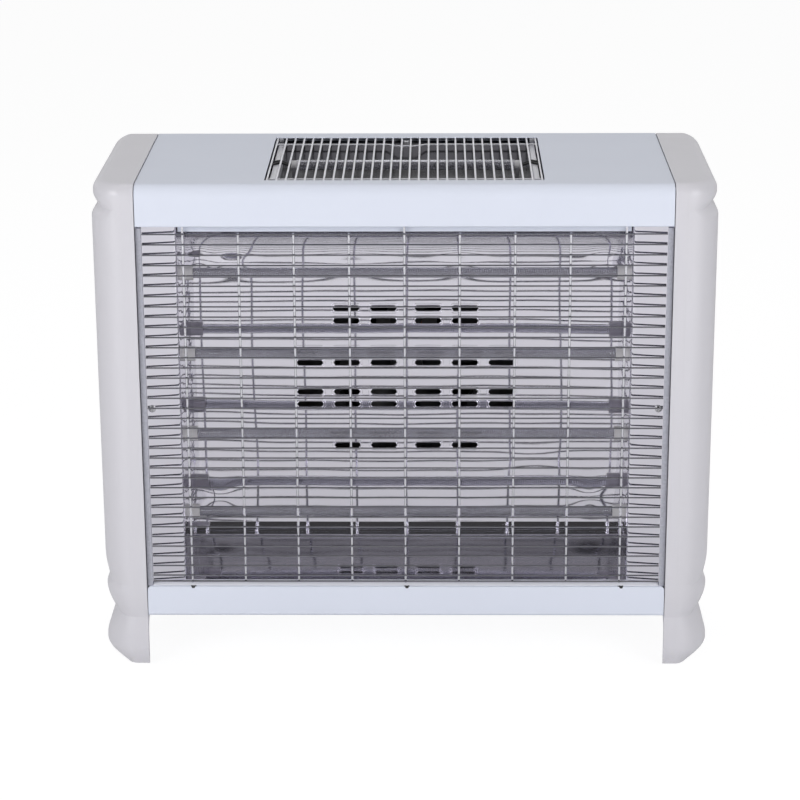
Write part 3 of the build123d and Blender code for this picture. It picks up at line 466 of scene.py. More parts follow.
PLATED = Spangled("plated_steel", (0.62, 0.62, 0.64), (0.42, 0.42, 0.44), 0.38, 0.95, drift=0.15)
# Fan duct: a galvanised spangle pattern in near-black, painted shade that keeps the slots in front of it
# dark.
DUCT_PAINTED_SHADE = Spangled("dark_steel_painted_shade", (0.05, 0.05, 0.052), (0.03, 0.03, 0.032), 0.6, 0.5, drift=0.1)
ZINC_STRIP = Spangled("zinc_strip", (0.47, 0.475, 0.54), (0.38, 0.385, 0.44), 0.5, 0.25, crystal=0.0022)
# Inlet gauze: near-black so that it stands as painted shade behind the slots.
GAUZE_PAINTED_SHADE = Woven("black_gauze_painted_shade", (0.012, 0.012, 0.013), (0.024, 0.024, 0.025), 0.7, relief=0.0003)
BRASS = Finish("brass", (0.70, 0.54, 0.24), (0.55, 0.40, 0.17), 0.30, 1.0, patch=0.01)
SCREW = Finish("screw_steel", (0.66, 0.66, 0.68), (0.45, 0.45, 0.47), 0.28, 1.0, patch=0.003)
SPRING = Finish("spring_steel", (0.50, 0.50, 0.52), (0.36, 0.36, 0.38), 0.35, 1.0, patch=0.004)
SLEEVE = Finish("black_lead", (0.018, 0.018, 0.02), (0.035, 0.035, 0.036), 0.55, patch=0.004, grain=0.0006)
BLACK = Finish("black_plastic", (0.02, 0.02, 0.022), (0.032, 0.032, 0.034), 0.45, patch=0.02)
GREY = Finish("grey_plastic", (0.40, 0.41, 0.44), (0.36, 0.37, 0.40), 0.42, patch=0.02)
ROCKER = Finish("rocker_plastic", (0.020, 0.020, 0.022), (0.030, 0.030, 0.032), 0.28, patch=0.01, coat=0.2)
RUBBER = Finish(
    "foot_rubber", (0.022, 0.022, 0.022), (0.040, 0.039, 0.038), 0.75, patch=0.004, relief=0.00004
)
IRON = Ridged("motor_iron", (0.20, 0.20, 0.21), (0.11, 0.10, 0.10), 0.5, 0.8, patch=0.01, relief=0.00008)
WINDING = Ridged(
    "copper_winding", (0.42, 0.16, 0.06), (0.30, 0.10, 0.04), 0.35, 0.6, relief=0.0001, axis=2, pitch=0.0007
)
DIE_CAST = Finish(
    "bridge_zinc", (0.50, 0.50, 0.52), (0.40, 0.40, 0.42), 0.5, 0.9, patch=0.004, relief=0.00004
)

NODE_FINISHES: dict[Finish, tuple[str, ...]] = {
    WHITE_PLASTIC: ("left_side_panel", "right_side_panel"),
    PAINTED_STEEL: ("top_cover", "bottom_panel", "back_panel"),
    ZINC_STRIP: ("left_side_frame", "right_side_frame"),
    POLISHED: ("reflector", "left_cheek", "right_cheek"),
    TRAY_PAINTED_SHADE: ("top_tray",),
    CHROME_PAINTED_SHADE: ("guard_rods",),
    STAY_WIRE_PAINTED_LIGHT: ("guard_stays",),
    ENAMEL: ("top_grille_rods", "top_cross_wires", "top_side_plates"),
    QUARTZ: (*FRONT_TUBES, TOP_TUBE),
    COIL: ("heating_coils", "top_heating_coil"),
    CERAMIC: ("left_tube_caps", "right_tube_caps", "top_tube_plugs", "top_connectors", "terminal_block"),
    PLATED: (
        "left_cap_retainer", "right_cap_retainer", "top_tube_cradles",
        "motor_bracket", "fan_shaft", "rocker_pins",
    ),
    DUCT_PAINTED_SHADE: ("fan_duct",),
    BRASS: ("bus_bars",),
    SCREW: ("case_screws", "cross_head_screws", "motor_bolts"),
    SPRING: ("tip_spring",),
    SLEEVE: ("top_leads", "inner_leads"),
    BLACK: ("cable_gland", "switch_bodies", "tip_switch_body", "thermal_cutout", "fan_blade"),
    GREY: ("switch_plate", "tip_plunger"),
    ROCKER: ("rocker_1", "rocker_2", "rocker_3", "rocker_4"),
    RUBBER: ("foot_pads",),
    IRON: ("motor_core", "motor_rotor"),
    WINDING: ("motor_winding",),
    DIE_CAST: ("motor_bridges",),
}


class Palette:
    """Materials that have been made, one for each finish."""

    def __init__(self) -> None:
        """Start with none."""
        self.made: dict[str, bpy.types.Material] = {}

    def material(self, finish: Finish) -> bpy.types.Material:
        """Material of a finish, made when it is first asked for.

        Args:
            finish: The finish.

        Returns:
            Its material.
        """
        if finish.name not in self.made:
            self.made[finish.name] = finish.build()
        return self.made[finish.name]

    def dress_nodes(self, nodes: dict[str, bpy.types.Object]) -> None:
        """Give every CAD node its finish.

        Args:
            nodes: The CAD nodes by name.
        """
        for finish, names in NODE_FINISHES.items():
            for name in names:
                for slot in nodes[name].material_slots:
                    slot.material = self.material(finish)
                LOG.info("dressed %s in %s", name, finish.name)


# Modelling with Blender's operators


def fan_level() -> float:
    """Height of the fan's axis, from the duct around it."""
    low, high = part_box("fan_duct")
    return (low.z + high.z) / 2


class Piece:
    """One mesh that is modelled with Blender's operators and then rides on a CAD body."""

    def __init__(self, name: str, primitive: Callable[..., Any], **settings: Any) -> None:
        """Add a primitive, with everything else deselected.

        Args:
            name: The piece's name.
            primitive: The operator that adds it.
            settings: The operator's settings.
        """
        bpy.ops.object.select_all(action="DESELECT")
        primitive(**settings)
        self.obj = bpy.context.object
        self.obj.name = name
        self.obj.data.name = name

    @classmethod
    def cylinder(
        cls, name: str, radius: float, length: float, middle: Sequence[float], axis: Axis, sides: int = 32,
        ends: str = "NGON",
    ) -> "Piece":
        """Start from a cylinder.

        Args:
            name: The piece's name.
            radius: Its radius in metres.
            length: Its length in metres.
            middle: Its middle.
            axis: The direction it points in.
            sides: Number of sides.
            ends: How its ends are filled.

        Returns:
            The piece.
        """
        return cls(
            name, bpy.ops.mesh.primitive_cylinder_add, vertices=sides, radius=radius, depth=length,
            end_fill_type=ends, location=middle, rotation=axis.value,
        )

    @classmethod
    def circle(cls, name: str, radius: float, middle: Sequence[float], axis: Axis, sides: int) -> "Piece":
        """Start from an open circle.

        Args:
            name: The piece's name.
            radius: Its radius in metres.
            middle: Its middle.
            axis: The direction it faces.
            sides: Number of sides.

        Returns:
            The piece.
        """
        return cls(
            name, bpy.ops.mesh.primitive_circle_add, vertices=sides, radius=radius, fill_type="NOTHING",
            location=middle, rotation=axis.value,
        )

    @classmethod
    def cube(cls, name: str, size: Sequence[float], middle: Sequence[float]) -> "Piece":
        """Start from a box.

        Args:
            name: The piece's name.
            size: Its size in metres.
            middle: Its middle.

        Returns:
            The piece.
        """
        piece = cls(name, bpy.ops.mesh.primitive_cube_add, size=1.0, location=middle)
        piece.obj.scale = size
        bpy.ops.object.transform_apply(location=False, rotation=False, scale=True)
        return piece

    @classmethod
    def grid(cls, name: str, columns: int, rows: int) -> "Piece":
        """Start from a flat square of one metre with even columns and rows."""
        counts = {"x_subdivisions": columns, "y_subdivisions": rows}
        return cls(name, bpy.ops.mesh.primitive_grid_add, size=1.0, **counts)

    def active(self) -> None:
        """Make this piece the only one selected, and active."""
        bpy.ops.object.select_all(action="DESELECT")
        self.obj.select_set(True)
        bpy.context.view_layer.objects.active = self.obj

    def settle(self) -> "Piece":
        """Put the piece's place, turn and scale into its mesh.

        Returns:
            The piece.
        """
        self.active()
        bpy.ops.object.transform_apply(location=True, rotation=True, scale=True)
        return self

    def shift(self, place: Matrix) -> "Piece":
        """Move and turn the piece's mesh."""
        self.obj.data.transform(place)
        return self

    def _pick(self, kind: str, wanted: Callable[[Any], bool]) -> None:
        """Select faces or edges in edit mode.

        Args:
            kind: FACE or EDGE.
            wanted: Says whether one of them is picked.
        """
        self.active()
        bpy.ops.object.mode_set(mode="EDIT")
        bpy.ops.mesh.select_mode(type=kind)
        bpy.ops.mesh.select_all(action="DESELECT")
        mesh = bmesh.from_edit_mesh(self.obj.data)
        for element in mesh.faces if kind == "FACE" else mesh.edges:
            if wanted(element):
                element.select_set(True)
        bmesh.update_edit_mesh(self.obj.data)

    def pick_faces(self, rule: Rule) -> None:
        """Select the faces that a rule on their middle and normal picks."""
        self._pick("FACE", lambda face: rule(face.calc_center_median(), face.normal))

    def round_edges(self, rule: Rule, radius: float, segments: int) -> "Piece":
        """Round the edges that a rule on their middle and direction picks.

        Args:
            rule: Says whether an edge is picked.
            radius: How far the rounding reaches, in metres.
            segments: Number of faces across the rounding.

        Returns:
            The piece.
        """

        def wanted(edge: bmesh.types.BMEdge) -> bool:
            """Ask the rule about one edge."""
            first, second = (vert.co for vert in edge.verts)
            return rule((first + second) / 2, (second - first).normalized())

        self._pick("EDGE", wanted)
        bpy.ops.mesh.bevel(offset=radius, segments=segments)
        return self.done()

    def sink(self, rule: Rule, border: float, slope: float, depth: float) -> "Piece":
        """Sink the middle of the faces that a rule on their middle and normal picks.

        Args:
            rule: Says whether a face is picked.
            border: Width of the border that stays, in metres.
            slope: Width of the wall's slope.
            depth: How deep the middle sinks.

        Returns:
            The piece.
        """
        self.pick_faces(rule)
        bpy.ops.mesh.inset(thickness=border)
        bpy.ops.mesh.inset(thickness=slope, depth=-depth)
        return self.done()

    def done(self) -> "Piece":
        """Leave edit mode."""
        bpy.ops.object.mode_set(mode="OBJECT")
        return self

    def modify(self, kind: str, **settings: Any) -> "Piece":
        """Add one modifier and apply it.

        Args:
            kind: The modifier's type.
            settings: Its settings.

        Returns:
            The piece.
        """
        self.active()
        modifier = self.obj.modifiers.new(kind.title(), kind)
        for key, value in settings.items():
            setattr(modifier, key, value)
        bpy.ops.object.modifier_apply(modifier=modifier.name)
        return self

    def cut(self, cutter: "Piece") -> "Piece":
        """Take another piece's shape out of this one, and remove that piece.

        Args:
            cutter: The other piece.

        Returns:
            The piece.
        """
        self.modify("BOOLEAN", object=cutter.obj, operation="DIFFERENCE")
        bpy.data.objects.remove(cutter.obj)
        return self

    def smooth(self, degrees: float = 35.0) -> "Piece":
        """Shade smooth where faces meet at less than an angle.

        Args:
            degrees: The angle.

        Returns:
            The piece.
        """
        self.active()
        bpy.ops.object.shade_smooth_by_angle(angle=math.radians(degrees))
        return self

    def join(self, others: Sequence[bpy.types.Object]) -> "Piece":
        """Join other objects with the piece.

        Args:
            others: The other objects.

        Returns:
            The piece.
        """
        self.active()
        for other in others:
            other.select_set(True)
        bpy.ops.object.join()
        return self

    def copies(self, places: Sequence[Matrix]) -> "Piece":
        """Copy the piece to several places and join the copies with it.

        Args:
            places: One matrix for each copy; the piece itself takes the first.

        Returns:
            The piece.
        """
        self.settle()
        others = []
        for place in places[1:]:
            copy = self.obj.copy()
            copy.data = self.obj.data.copy()
            copy.data.transform(place)
            bpy.context.scene.collection.objects.link(copy)
            others.append(copy)
        return self.shift(places[0]).join(others)

    def wear(self, material: bpy.types.Material, slot: str, *replaced: str) -> bpy.types.Object:
        """Dress the finished piece and put it on the case.

        Args:
            material: Its material.
            slot: The record's material slot; not used.
            replaced: CAD nodes that it stands for.

        Returns:
            The piece's object.
        """
        self.settle()
        self.obj.data.materials.clear()
        self.obj.data.materials.append(material)
        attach(self.obj, CASE)
        if replaced:
            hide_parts(*replaced)
        LOG.info("made %s with %d faces", self.obj.name, len(self.obj.data.polygons))
        return self.obj


@dataclass
class QuartzHeaters:
    """Quartz tubes and the wire that is wound inside them."""

    palette: Palette
    sides: int = 40
    wall: float = 1.2 * MM
    rim: float = 0.35 * MM
    wire: float = 0.42 * MM
    wire_sides: int = 6
    turn_pitch: float = 2.4 * MM
    turn_steps: int = 9
    tail: float = 0.9 * MM
    tail_sides: int = 12
    tail_rim: float = 0.3 * MM
    tail_overlap: float = 2.0 * MM
    tail_clear: float = 6.0 * MM
    front_end: float = 12.0 * MM
    top_end: float = 7.0 * MM

    def build(self) -> None:
        """Make the front tubes and the top tube, each with its wire."""
        for number, tube in enumerate(FRONT_TUBES, start=1):
            self.tube(tube, f"drawn_tube_{number}")
        self.tube(TOP_TUBE, "drawn_tube_top")
        for number, tube in enumerate(FRONT_TUBES, start=1):
            self.coil("heating_coils", tube, f"heating_coils_{number}", self.front_end)
        self.coil("top_heating_coil", TOP_TUBE, "top_heating_coil_wound", self.top_end)

    def tube(self, node: str, name: str) -> None:
        """Model one tube with fire-polished ends.

        Args:
            node: The node that it replaces.
            name: The piece's name.
        """
        low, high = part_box(node)
        half = (high.x - low.x) / 2
        radius = (high.z - low.z) / 2
        piece = Piece.cylinder(name, radius, high.x - low.x, (low + high) / 2, Axis.X, self.sides, "NOTHING")
        piece.modify("SOLIDIFY", thickness=self.wall, offset=-1.0)
        piece.round_edges(lambda at, way: abs(abs(at.z) - half) < 1e-6 and abs(way.z) < 0.5, self.rim, 3)
        piece.smooth().wear(self.palette.material(QUARTZ), "quartz", node)

    def coil(self, node: str, tube: str, name: str, end: float) -> None:
        """Model the wire of one tube, wound between its straight tails.

        Args:
            node: The node of wires that it replaces.
            tube: The node of the tube around it.
            name: The piece's name.
            end: How far the winding stops before the tube's end.
        """
        low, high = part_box(node)
        tube_low, tube_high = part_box(tube)
        middle = (tube_low + tube_high) / 2
        radius = (tube_high.z - tube_low.z) / 2 - self.wall - 2 * self.wire
        half = tube_high.x - end
        turns = int(2 * half / self.turn_pitch)
        start = (-half, middle.y, middle.z + radius)
        ring = Piece.circle(name, self.wire, start, Axis.Y, self.wire_sides).settle()
        ring.shift(Matrix.Translation((half, -middle.y, -middle.z)))
        ring.modify(
            "SCREW", axis="X", angle=math.tau, screw_offset=2 * half / turns, iterations=turns,
            steps=self.turn_steps, render_steps=self.turn_steps,
            use_merge_vertices=True, merge_threshold=1e-6,
        )
        ring.shift(Matrix.Translation((-half, middle.y, middle.z))).smooth(80.0)
        tails = Piece.cylinder(f"{name}_tails", self.tail, high.x - low.x, middle, Axis.X, self.tail_sides)
        tails.round_edges(lambda at, way: abs(way.z) < 0.5, self.tail_rim, 2).settle()
        wound = (2 * (half - self.tail_overlap), self.tail_clear, self.tail_clear)
        tails.cut(Piece.cube("coil_gap", wound, middle)).smooth()
        ring.join([tails.obj]).wear(self.palette.material(COIL), "heating_wire", node)


@dataclass
class Screws:
    """Pan-head screws with a cross recess, modelled once and copied."""

    palette: Palette
    head_r: float = 3.6 * MM
    head: float = 2.2 * MM
    head_round: float = 0.6
    shank_r: float = 1.65 * MM
    shank: float = 8.0 * MM
    shank_tip: float = 0.8
    arm: float = 4.2 * MM
    arm_width: float = 0.95 * MM
    arm_depth: float = 1.3 * MM
    rear_x: float = 0.200
    cover_drop: float = 8.0 * MM
    panel_rise: float = 10.0 * MM
    bracket_inset: float = 7.75 * MM
    side_ys: tuple[float, float] = (-0.092, 0.104)
    side_low: float = 0.080
    side_drop: float = 24.6 * MM
    cross_r: float = 3.8 * MM
    cross_scale: float = 1.08
    cross_turn: float = 0.5
    cross_spread: float = 0.3
    tray_turn: float = 0.35

    def one(self, name: str) -> Piece:
        """Model one screw at the origin, its head's seat at Z = 0 and pointing up.

        Args:
            name: The piece's name.

        Returns:
            The piece.
        """
        screw = Piece.cylinder(name, self.head_r, self.head, (0, 0, self.head / 2), Axis.Z)
        screw.round_edges(
            lambda at, way: at.z > self.head * 0.4 and abs(way.z) < 0.5, self.head * self.head_round, 4
        )
        screw.pick_faces(lambda at, way: way.z < -0.9)
        bpy.ops.mesh.inset(thickness=self.head_r - self.shank_r)
        bpy.ops.mesh.extrude_region_move(TRANSFORM_OT_translate={"value": (0, 0, -self.shank)})
        bpy.ops.transform.resize(value=(self.shank_tip, self.shank_tip, 1.0))
        screw.done().settle()
        for turn in (0.0, math.pi / 2):
            size = (self.arm, self.arm_width, 2 * self.arm_depth)
            cutter = Piece.cube("cross_cutter", size, (0, 0, self.head))
            cutter.obj.rotation_euler.z = turn
            screw.cut(cutter.settle())
        return screw.smooth(30.0)

    def case_places(self) -> list[Matrix]:
        """Places of the screws that hold the case.

        Returns:
            For each side three places at the rear and four in the cover's side.
        """
        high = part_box("case_screws")[1]
        back_low, back_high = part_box("back_panel")
        cover_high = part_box("top_cover")[1]
        bracket_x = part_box("motor_bracket")[1].x - self.bracket_inset
        to_back = Matrix.Rotation(-math.pi / 2, 4, "X")
        places = []
        for side in SIDES:
            rear = (
                (side * self.rear_x, high.y - self.head, cover_high.z - self.cover_drop),
                (side * self.rear_x, back_high.y, back_low.z + self.panel_rise),
                (side * bracket_x, back_high.y, fan_level()),
            )
            places += [Matrix.Translation(at) @ to_back for at in rear]
            inward = Matrix.Rotation(-side * math.pi / 2, 4, "Y")
            places += [
                Matrix.Translation((side * cover_high.x, y, z)) @ inward
                for y in self.side_ys
                for z in (self.side_low, high.z - self.side_drop)
            ]
        return places

    def cross_places(self) -> list[Matrix]:
        """Places of the larger screws.

        Returns:
            One place on each cheek's flange and one in the top tray.
        """
        low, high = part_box("cross_head_screws")
        flange_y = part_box("right_cheek")[0].y
        tray_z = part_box("top_tray")[1].z
        to_front = Matrix.Rotation(math.pi / 2, 4, "X")
        grown = Matrix.Scale(self.cross_scale, 4)
        places = [
            Matrix.Translation((side * (high.x - self.cross_r), flange_y, low.z + self.cross_r))
            @ to_front @ Matrix.Rotation(self.cross_turn + side * self.cross_spread, 4, "Z") @ grown
            for side in SIDES
        ]
        tray = Matrix.Translation((0, high.y - self.cross_r, tray_z))
        return [*places, tray @ Matrix.Rotation(self.tray_turn, 4, "Z") @ grown]

    def build(self) -> None:
        """Make the case screws and the larger screws."""
        for node, places in (("case_screws", self.case_places()), ("cross_head_screws", self.cross_places())):
            self.one(f"{node}_turned").copies(places).wear(self.palette.material(SCREW), "screw_steel", node)


@dataclass
class FootPads:
    """Rubber pads under the feet, with a rounded edge and a sunk middle."""

    palette: Palette
    sides: int = 40
    radius: float = 8.0 * MM
    thickness: float = 3.0 * MM
    edge: float = 0.7 * MM
    border: float = 2.2 * MM
    slope: float = 0.5 * MM
    depth: float = 0.8 * MM

    def build(self) -> None:
        """Model one pad and copy it to the four feet."""
        low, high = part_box("foot_pads")
        middle = (0, 0, self.thickness / 2)
        pad = Piece.cylinder("foot_pads_moulded", self.radius, self.thickness, middle, Axis.Z, self.sides)
        pad.round_edges(lambda at, way: at.z < 0 and abs(way.z) < 0.5, self.edge, 3)
        pad.sink(lambda at, way: way.z < -0.99, self.border, self.slope, self.depth).smooth()
        places = [
            Matrix.Translation((x, y, 0))
            for x in (low.x + self.radius, high.x - self.radius)
            for y in (low.y + self.radius, high.y - self.radius)
        ]
        pad.copies(places).wear(self.palette.material(RUBBER), "foot_rubber", "foot_pads")


@dataclass
class Cheeks:
    """Bright side sheets of the reflector, bent by hand: the flange slants and its bend is crumpled."""

    palette: Palette
    sheet: float = 0.5 * MM
    bend: float = 3.2 * MM
    slant: float = 3.2 * MM
    rows: int = 190
    wall_steps: int = 12
    wall_share: float = 0.9
    bend_steps: int = 6
    flange_steps: int = 14
    flange_calm: int = 4
    hole_clear: float = 0.35 * MM
    hole_sides: int = 40
    cutter_length: float = 12.0 * MM
    push_share: float = 0.6
    push_pitch: float = 1.37
    push_turn: float = 2.0
    rumples: tuple[Triple, ...] = (
        (0.047, 0.16, 0.4),
        (0.0193, 0.10, 2.1),
        (0.0087, 0.05, 4.0),
    )

    def build(self) -> None:
        """Make the right and the left cheek."""
        for side, label in ((1, "right"), (-1, "left")):
            self.cheek(side, f"{label}_cheek", f"{label}_cheek_bent")

    def route(self, depth: float, reach: float) -> list[Triple]:
        """Section of the sheet from its rear edge to the edge behind the strip.

        Args:
            depth: How far the wall goes back.
            reach: How wide the flange is.

        Returns:
            Points across, points back and how much each one is crumpled.
        """
        points = []
        for step in range(self.wall_steps):
            points.append((0.0, depth - step * (depth - self.bend) / self.wall_steps, self.wall_share))
        for step in range(self.bend_steps + 1):
            angle = step * math.pi / (2 * self.bend_steps)
            points.append((self.bend * (1 - math.cos(angle)), self.bend * (1 - math.sin(angle)), 1.0))
        for step in range(1, self.flange_steps + 1):
            share = step / self.flange_steps
            across = self.bend + share * (reach - self.bend)
            points.append((across, -share * self.slant, (1 - share) ** self.flange_calm))
        return points

    def rumple(self, z: float, phase: float) -> float:
        """Uneven wave along the bend, a fraction of a millimetre high."""
        waves = (size * math.sin(math.tau * z / length + turn + phase) for length, size, turn in self.rumples)
        return MM * sum(waves)

    def cheek(self, side: int, node: str, name: str) -> None:
        """Model one cheek.

        Args:
            side: 1 for the right one and -1 for the left one.
            node: The node that it replaces.
            name: The piece's name.
        """
        low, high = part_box(node)
        inner = low.x if side > 0 else high.x
        route = self.route(high.y - low.y, high.x - low.x)
        columns = len(route) - 1
        piece = Piece.grid(name, columns, self.rows)
        for vert in piece.obj.data.vertices:
            across, back, share = route[round((vert.co.x + 0.5) * columns)]
            z = low.z + (0.5 + side * vert.co.y) * (high.z - low.z)
            wave = self.rumple(z, side) * share
            push = self.push_share * self.rumple(self.push_pitch * z, self.push_turn - side) * share
            vert.co = (inner + side * (across + wave), low.y + self.slant / 2 + back + push, z)
        piece.modify("SOLIDIFY", thickness=self.sheet, offset=-1.0)
        caps_low, caps_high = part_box("right_tube_caps")
        radius = (caps_high.y - caps_low.y) / 2 + self.hole_clear
        for tube in FRONT_TUBES:
            tube_low, tube_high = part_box(tube)
            middle = (inner, (tube_low.y + tube_high.y) / 2, (tube_low.z + tube_high.z) / 2)
            piece.cut(
                Piece.cylinder("cheek_cutter", radius, self.cutter_length, middle, Axis.X, self.hole_sides)
            )
        piece.smooth(50.0).wear(self.palette.material(POLISHED), "polished_sheet", node)


@dataclass
class Reflector:
    """Thin bright sheet behind the tubes: bent by hand, wavy and dented, with pressed rims at its slots."""

    palette: Palette
    sheet: float = 0.6 * MM
    columns: int = 150
    row: float = 3.2 * MM
    flange: float = 13.0 * MM
    top_fall: float = 15.0 * MM
    top_curve: float = 52.0 * MM
    shelf_rise: float = 39.3 * MM
    step: float = 6.0 * MM
    step_height: float = 13.5 * MM
    fold_back: float = 37.2 * MM
    fold_rise: float = 14.4 * MM
    bend: float = 2.5 * MM
    slot_length: float = 28.5 * MM
    slot_height: float = 6.2 * MM
    slot_sides: int = 24
    cutter_length: float = 12.0 * MM
    rim: float = 0.5 * MM
    rim_gap: float = 0.3 * MM
    crease: float = 0.22 * MM
    crease_gap: float = 2.6 * MM
    middle_pitch: float = 48.4 * MM
    pitch: float = 40.25 * MM
    pair_gap: float = 14.1 * MM
    pair_pitch: float = 47.4 * MM
    each_side: tuple[int, ...] = (2, 3, 3, 2)
    dents: tuple[tuple[float, float, float, float, float], ...] = (
        (-0.223, 0.434, 0.013, 0.011, 0.9),
        (-0.187, 0.429, 0.016, 0.011, 1.1),
        (-0.057, 0.426, 0.034, 0.012, 0.7),
        (0.059, 0.428, 0.020, 0.011, 0.7),
        (0.214, 0.430, 0.014, 0.012, 0.8),
        (-0.207, 0.161, 0.013, 0.013, 0.9),
        (0.203, 0.161, 0.014, 0.014, 0.9),
        (0.140, 0.205, 0.030, 0.012, 0.3),
    )
    waves: tuple[tuple[float, float, float, float], ...] = (
        (0.310, 0.520, 0.6, 0.20),
        (0.127, -0.190, 2.2, 0.05),
        (0.071, 0.260, 4.1, 0.02),
    )
    edge_x: float = 0.238
    edge_width: float = 0.052
    edge_lift: float = 0.7
    edge_wave: float = 0.290
    edge_turns: tuple[tuple[int, float], ...] = ((-1, 0.4), (1, 2.3))

    def build(self) -> None:
        """Make the sheet with its slots, and the rims."""
        low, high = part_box("reflector")
        polished = self.palette.material(POLISHED)
        places = self.slot_places(high.y - self.sheet)
        sheet = self.bent(low, high)
        end_r = self.slot_height / 2
        cutter = Piece.cylinder("slot_cutter", end_r, self.cutter_length, ORIGIN, Axis.FRONT, self.slot_sides)
        sheet.cut(self.lengthen(cutter).copies(places)).smooth(40.0)
        sheet.wear(polished, "polished_sheet", "reflector")
        rims = (("slot_rims", self.rim_gap, self.rim), ("slot_creases", self.crease_gap, self.crease))
        for name, gap, thickness in rims:
            self.ring(name, end_r + gap, thickness, places).wear(polished, "polished_sheet")

    def slot_places(self, wall: float) -> list[Matrix]:
        """Place of every slot on the sheet's face.

        Args:
            wall: Y of the face before it is bent.

        Returns:
            One matrix for each slot.
        """
        fan_z = fan_level()
        places = []
        for row, half_count in enumerate(self.each_side):
            pair_z = fan_z + (row - (len(self.each_side) - 1) / 2) * self.pair_pitch
            for number in range(half_count):
                x = self.middle_pitch / 2 + number * self.pitch
                for side in SIDES:
                    for level in (-1, 1):
                        z = pair_z + level * self.pair_gap / 2
                        places.append(Matrix.Translation((side * x, wall - self.lift(side * x, z), z)))
        return places

    def section(self, low: Vector, high: Vector) -> list[Triple]:
        """Section of the sheet's face from the top flange down to the bottom one.

        Args:
            low: Lowest corner of the node.
            high: Highest corner of the node.

        Returns:
            Y, Z and the share of the waves at each point.
        """
        near = low.y + self.flange
        wall = high.y - self.sheet
        top = high.z - self.sheet
        foot = low.z + self.sheet
        bends = [
            ((low.y, top), 0.0),
            ((near, top), self.bend),
            ((wall, top - self.top_fall), self.top_curve),
            ((wall, foot + self.shelf_rise), self.bend),
            ((wall - self.step, foot + self.shelf_rise - self.step_height), self.bend),
            ((near + self.fold_back, foot + self.fold_rise), self.bend),
            ((near, foot), self.bend),
            ((low.y, foot), 0.0),
        ]
        path = [bends[0][0]]
        for before, (corner, radius), after in zip(bends, bends[1:], bends[2:]):
            path += rounded(Vector(before[0]), Vector(corner), Vector(after[0]), radius)
        path.append(bends[-1][0])
        points = []
        for (y0, z0), (y1, z1) in zip(path, path[1:]):
            count = max(1, round(math.hypot(y1 - y0, z1 - z0) / self.row))
            for step in range(count):
                share = step / count
                points.append((y0 + share * (y1 - y0), z0 + share * (z1 - z0)))
        points.append(path[-1])
        return [(y, z, min(1.0, max(0.0, (y - near) / (wall - near)))) for y, z in points]

    def lift(self, x: float, z: float) -> float:
        """How far the sheet stands out of its true plane.

        Args:
            x: Place across.
            z: Place up.

        Returns:
            The distance in metres.
        """
        height = 0.0
        for across, up, turn, size in self.waves:
            height += size * math.sin(math.tau * (x / across + z / up) + turn)
        for side, turn in self.edge_turns:
            near = math.exp(-(((x - side * self.edge_x) / self.edge_width) ** 2))
            height += self.edge_lift * near * math.sin(math.tau * z / self.edge_wave + turn)
        for at_x, at_z, wide, tall, size in self.dents:
            height += size * math.exp(-(((x - at_x) / wide) ** 2) - ((z - at_z) / tall) ** 2)
        return height * MM

    def bent(self, low: Vector, high: Vector) -> Piece:
        """Bend a grid into the sheet.

        Args:
            low: Lowest corner of the node.
            high: Highest corner of the node.

        Returns:
            The piece.
        """
        section = self.section(low, high)
        rows = len(section) - 1
        piece = Piece.grid("reflector_bent", self.columns, rows)
        for vert in piece.obj.data.vertices:
            y, z, share = section[round((0.5 - vert.co.y) * rows)]
            x = low.x + (vert.co.x + 0.5) * (high.x - low.x)
            vert.co = (x, y - self.lift(x, z) * share, z)
        return piece.modify("SOLIDIFY", thickness=self.sheet, offset=-1.0)

    def lengthen(self, piece: Piece) -> Piece:
        """Pull a round primitive at the origin, which points to the front, out to a slot's length.

        Args:
            piece: The primitive.

        Returns:
            The same piece.
        """
        piece.settle()
        reach = self.slot_length / 2 - self.slot_height / 2
        for vert in piece.obj.data.vertices:
            if abs(vert.co.x) > 1e-5:
                vert.co.x += math.copysign(reach, vert.co.x)
        return piece

    def ring(self, name: str, radius: float, thickness: float, places: list[Matrix]) -> Piece:
        """Make a rounded rim as a bevelled curve and copy it to every slot.

        Args:
            name: The piece's name.
            radius: Radius of its ends.
            thickness: Radius of its own round section.
            places: One matrix for each slot.

        Returns:
            The piece.
        """
        ring = self.lengthen(Piece.circle(name, radius, ORIGIN, Axis.FRONT, self.slot_sides))
        ring.active()
        bpy.ops.object.convert(target="CURVE")
        ring.obj.data.bevel_depth = thickness
        ring.obj.data.bevel_resolution = 2
        bpy.ops.object.convert(target="MESH")
        ring.obj = bpy.context.object
        return ring.copies(places).smooth(80.0)


def rounded(before: Vector, corner: Vector, after: Vector, radius: float) -> list[tuple[float, float]]:
    """Points of the arc that rounds one corner of a section.

    Args:
        before: Point before the corner.
        corner: The corner.
        after: Point after the corner.
        radius: Radius of the arc.

    Returns:
        The arc's points in order.
    """
    back = (before - corner).normalized()
    ahead = (after - corner).normalized()
    half = back.angle(ahead) / 2
    centre = corner + (back + ahead).normalized() * (radius / math.sin(half))
    first = corner + back * (radius / math.tan(half)) - centre
    last = corner + ahead * (radius / math.tan(half)) - centre
    turn = first.angle_signed(last)
    count = 14 if radius > 10 * MM else 4
    points = []
    for step in range(count + 1):
        angle = -turn * step / count
        cos_a, sin_a = math.cos(angle), math.sin(angle)
        x, y = first.x * cos_a - first.y * sin_a, first.x * sin_a + first.y * cos_a
        points.append((centre.x + x, centre.y + y))
    return points


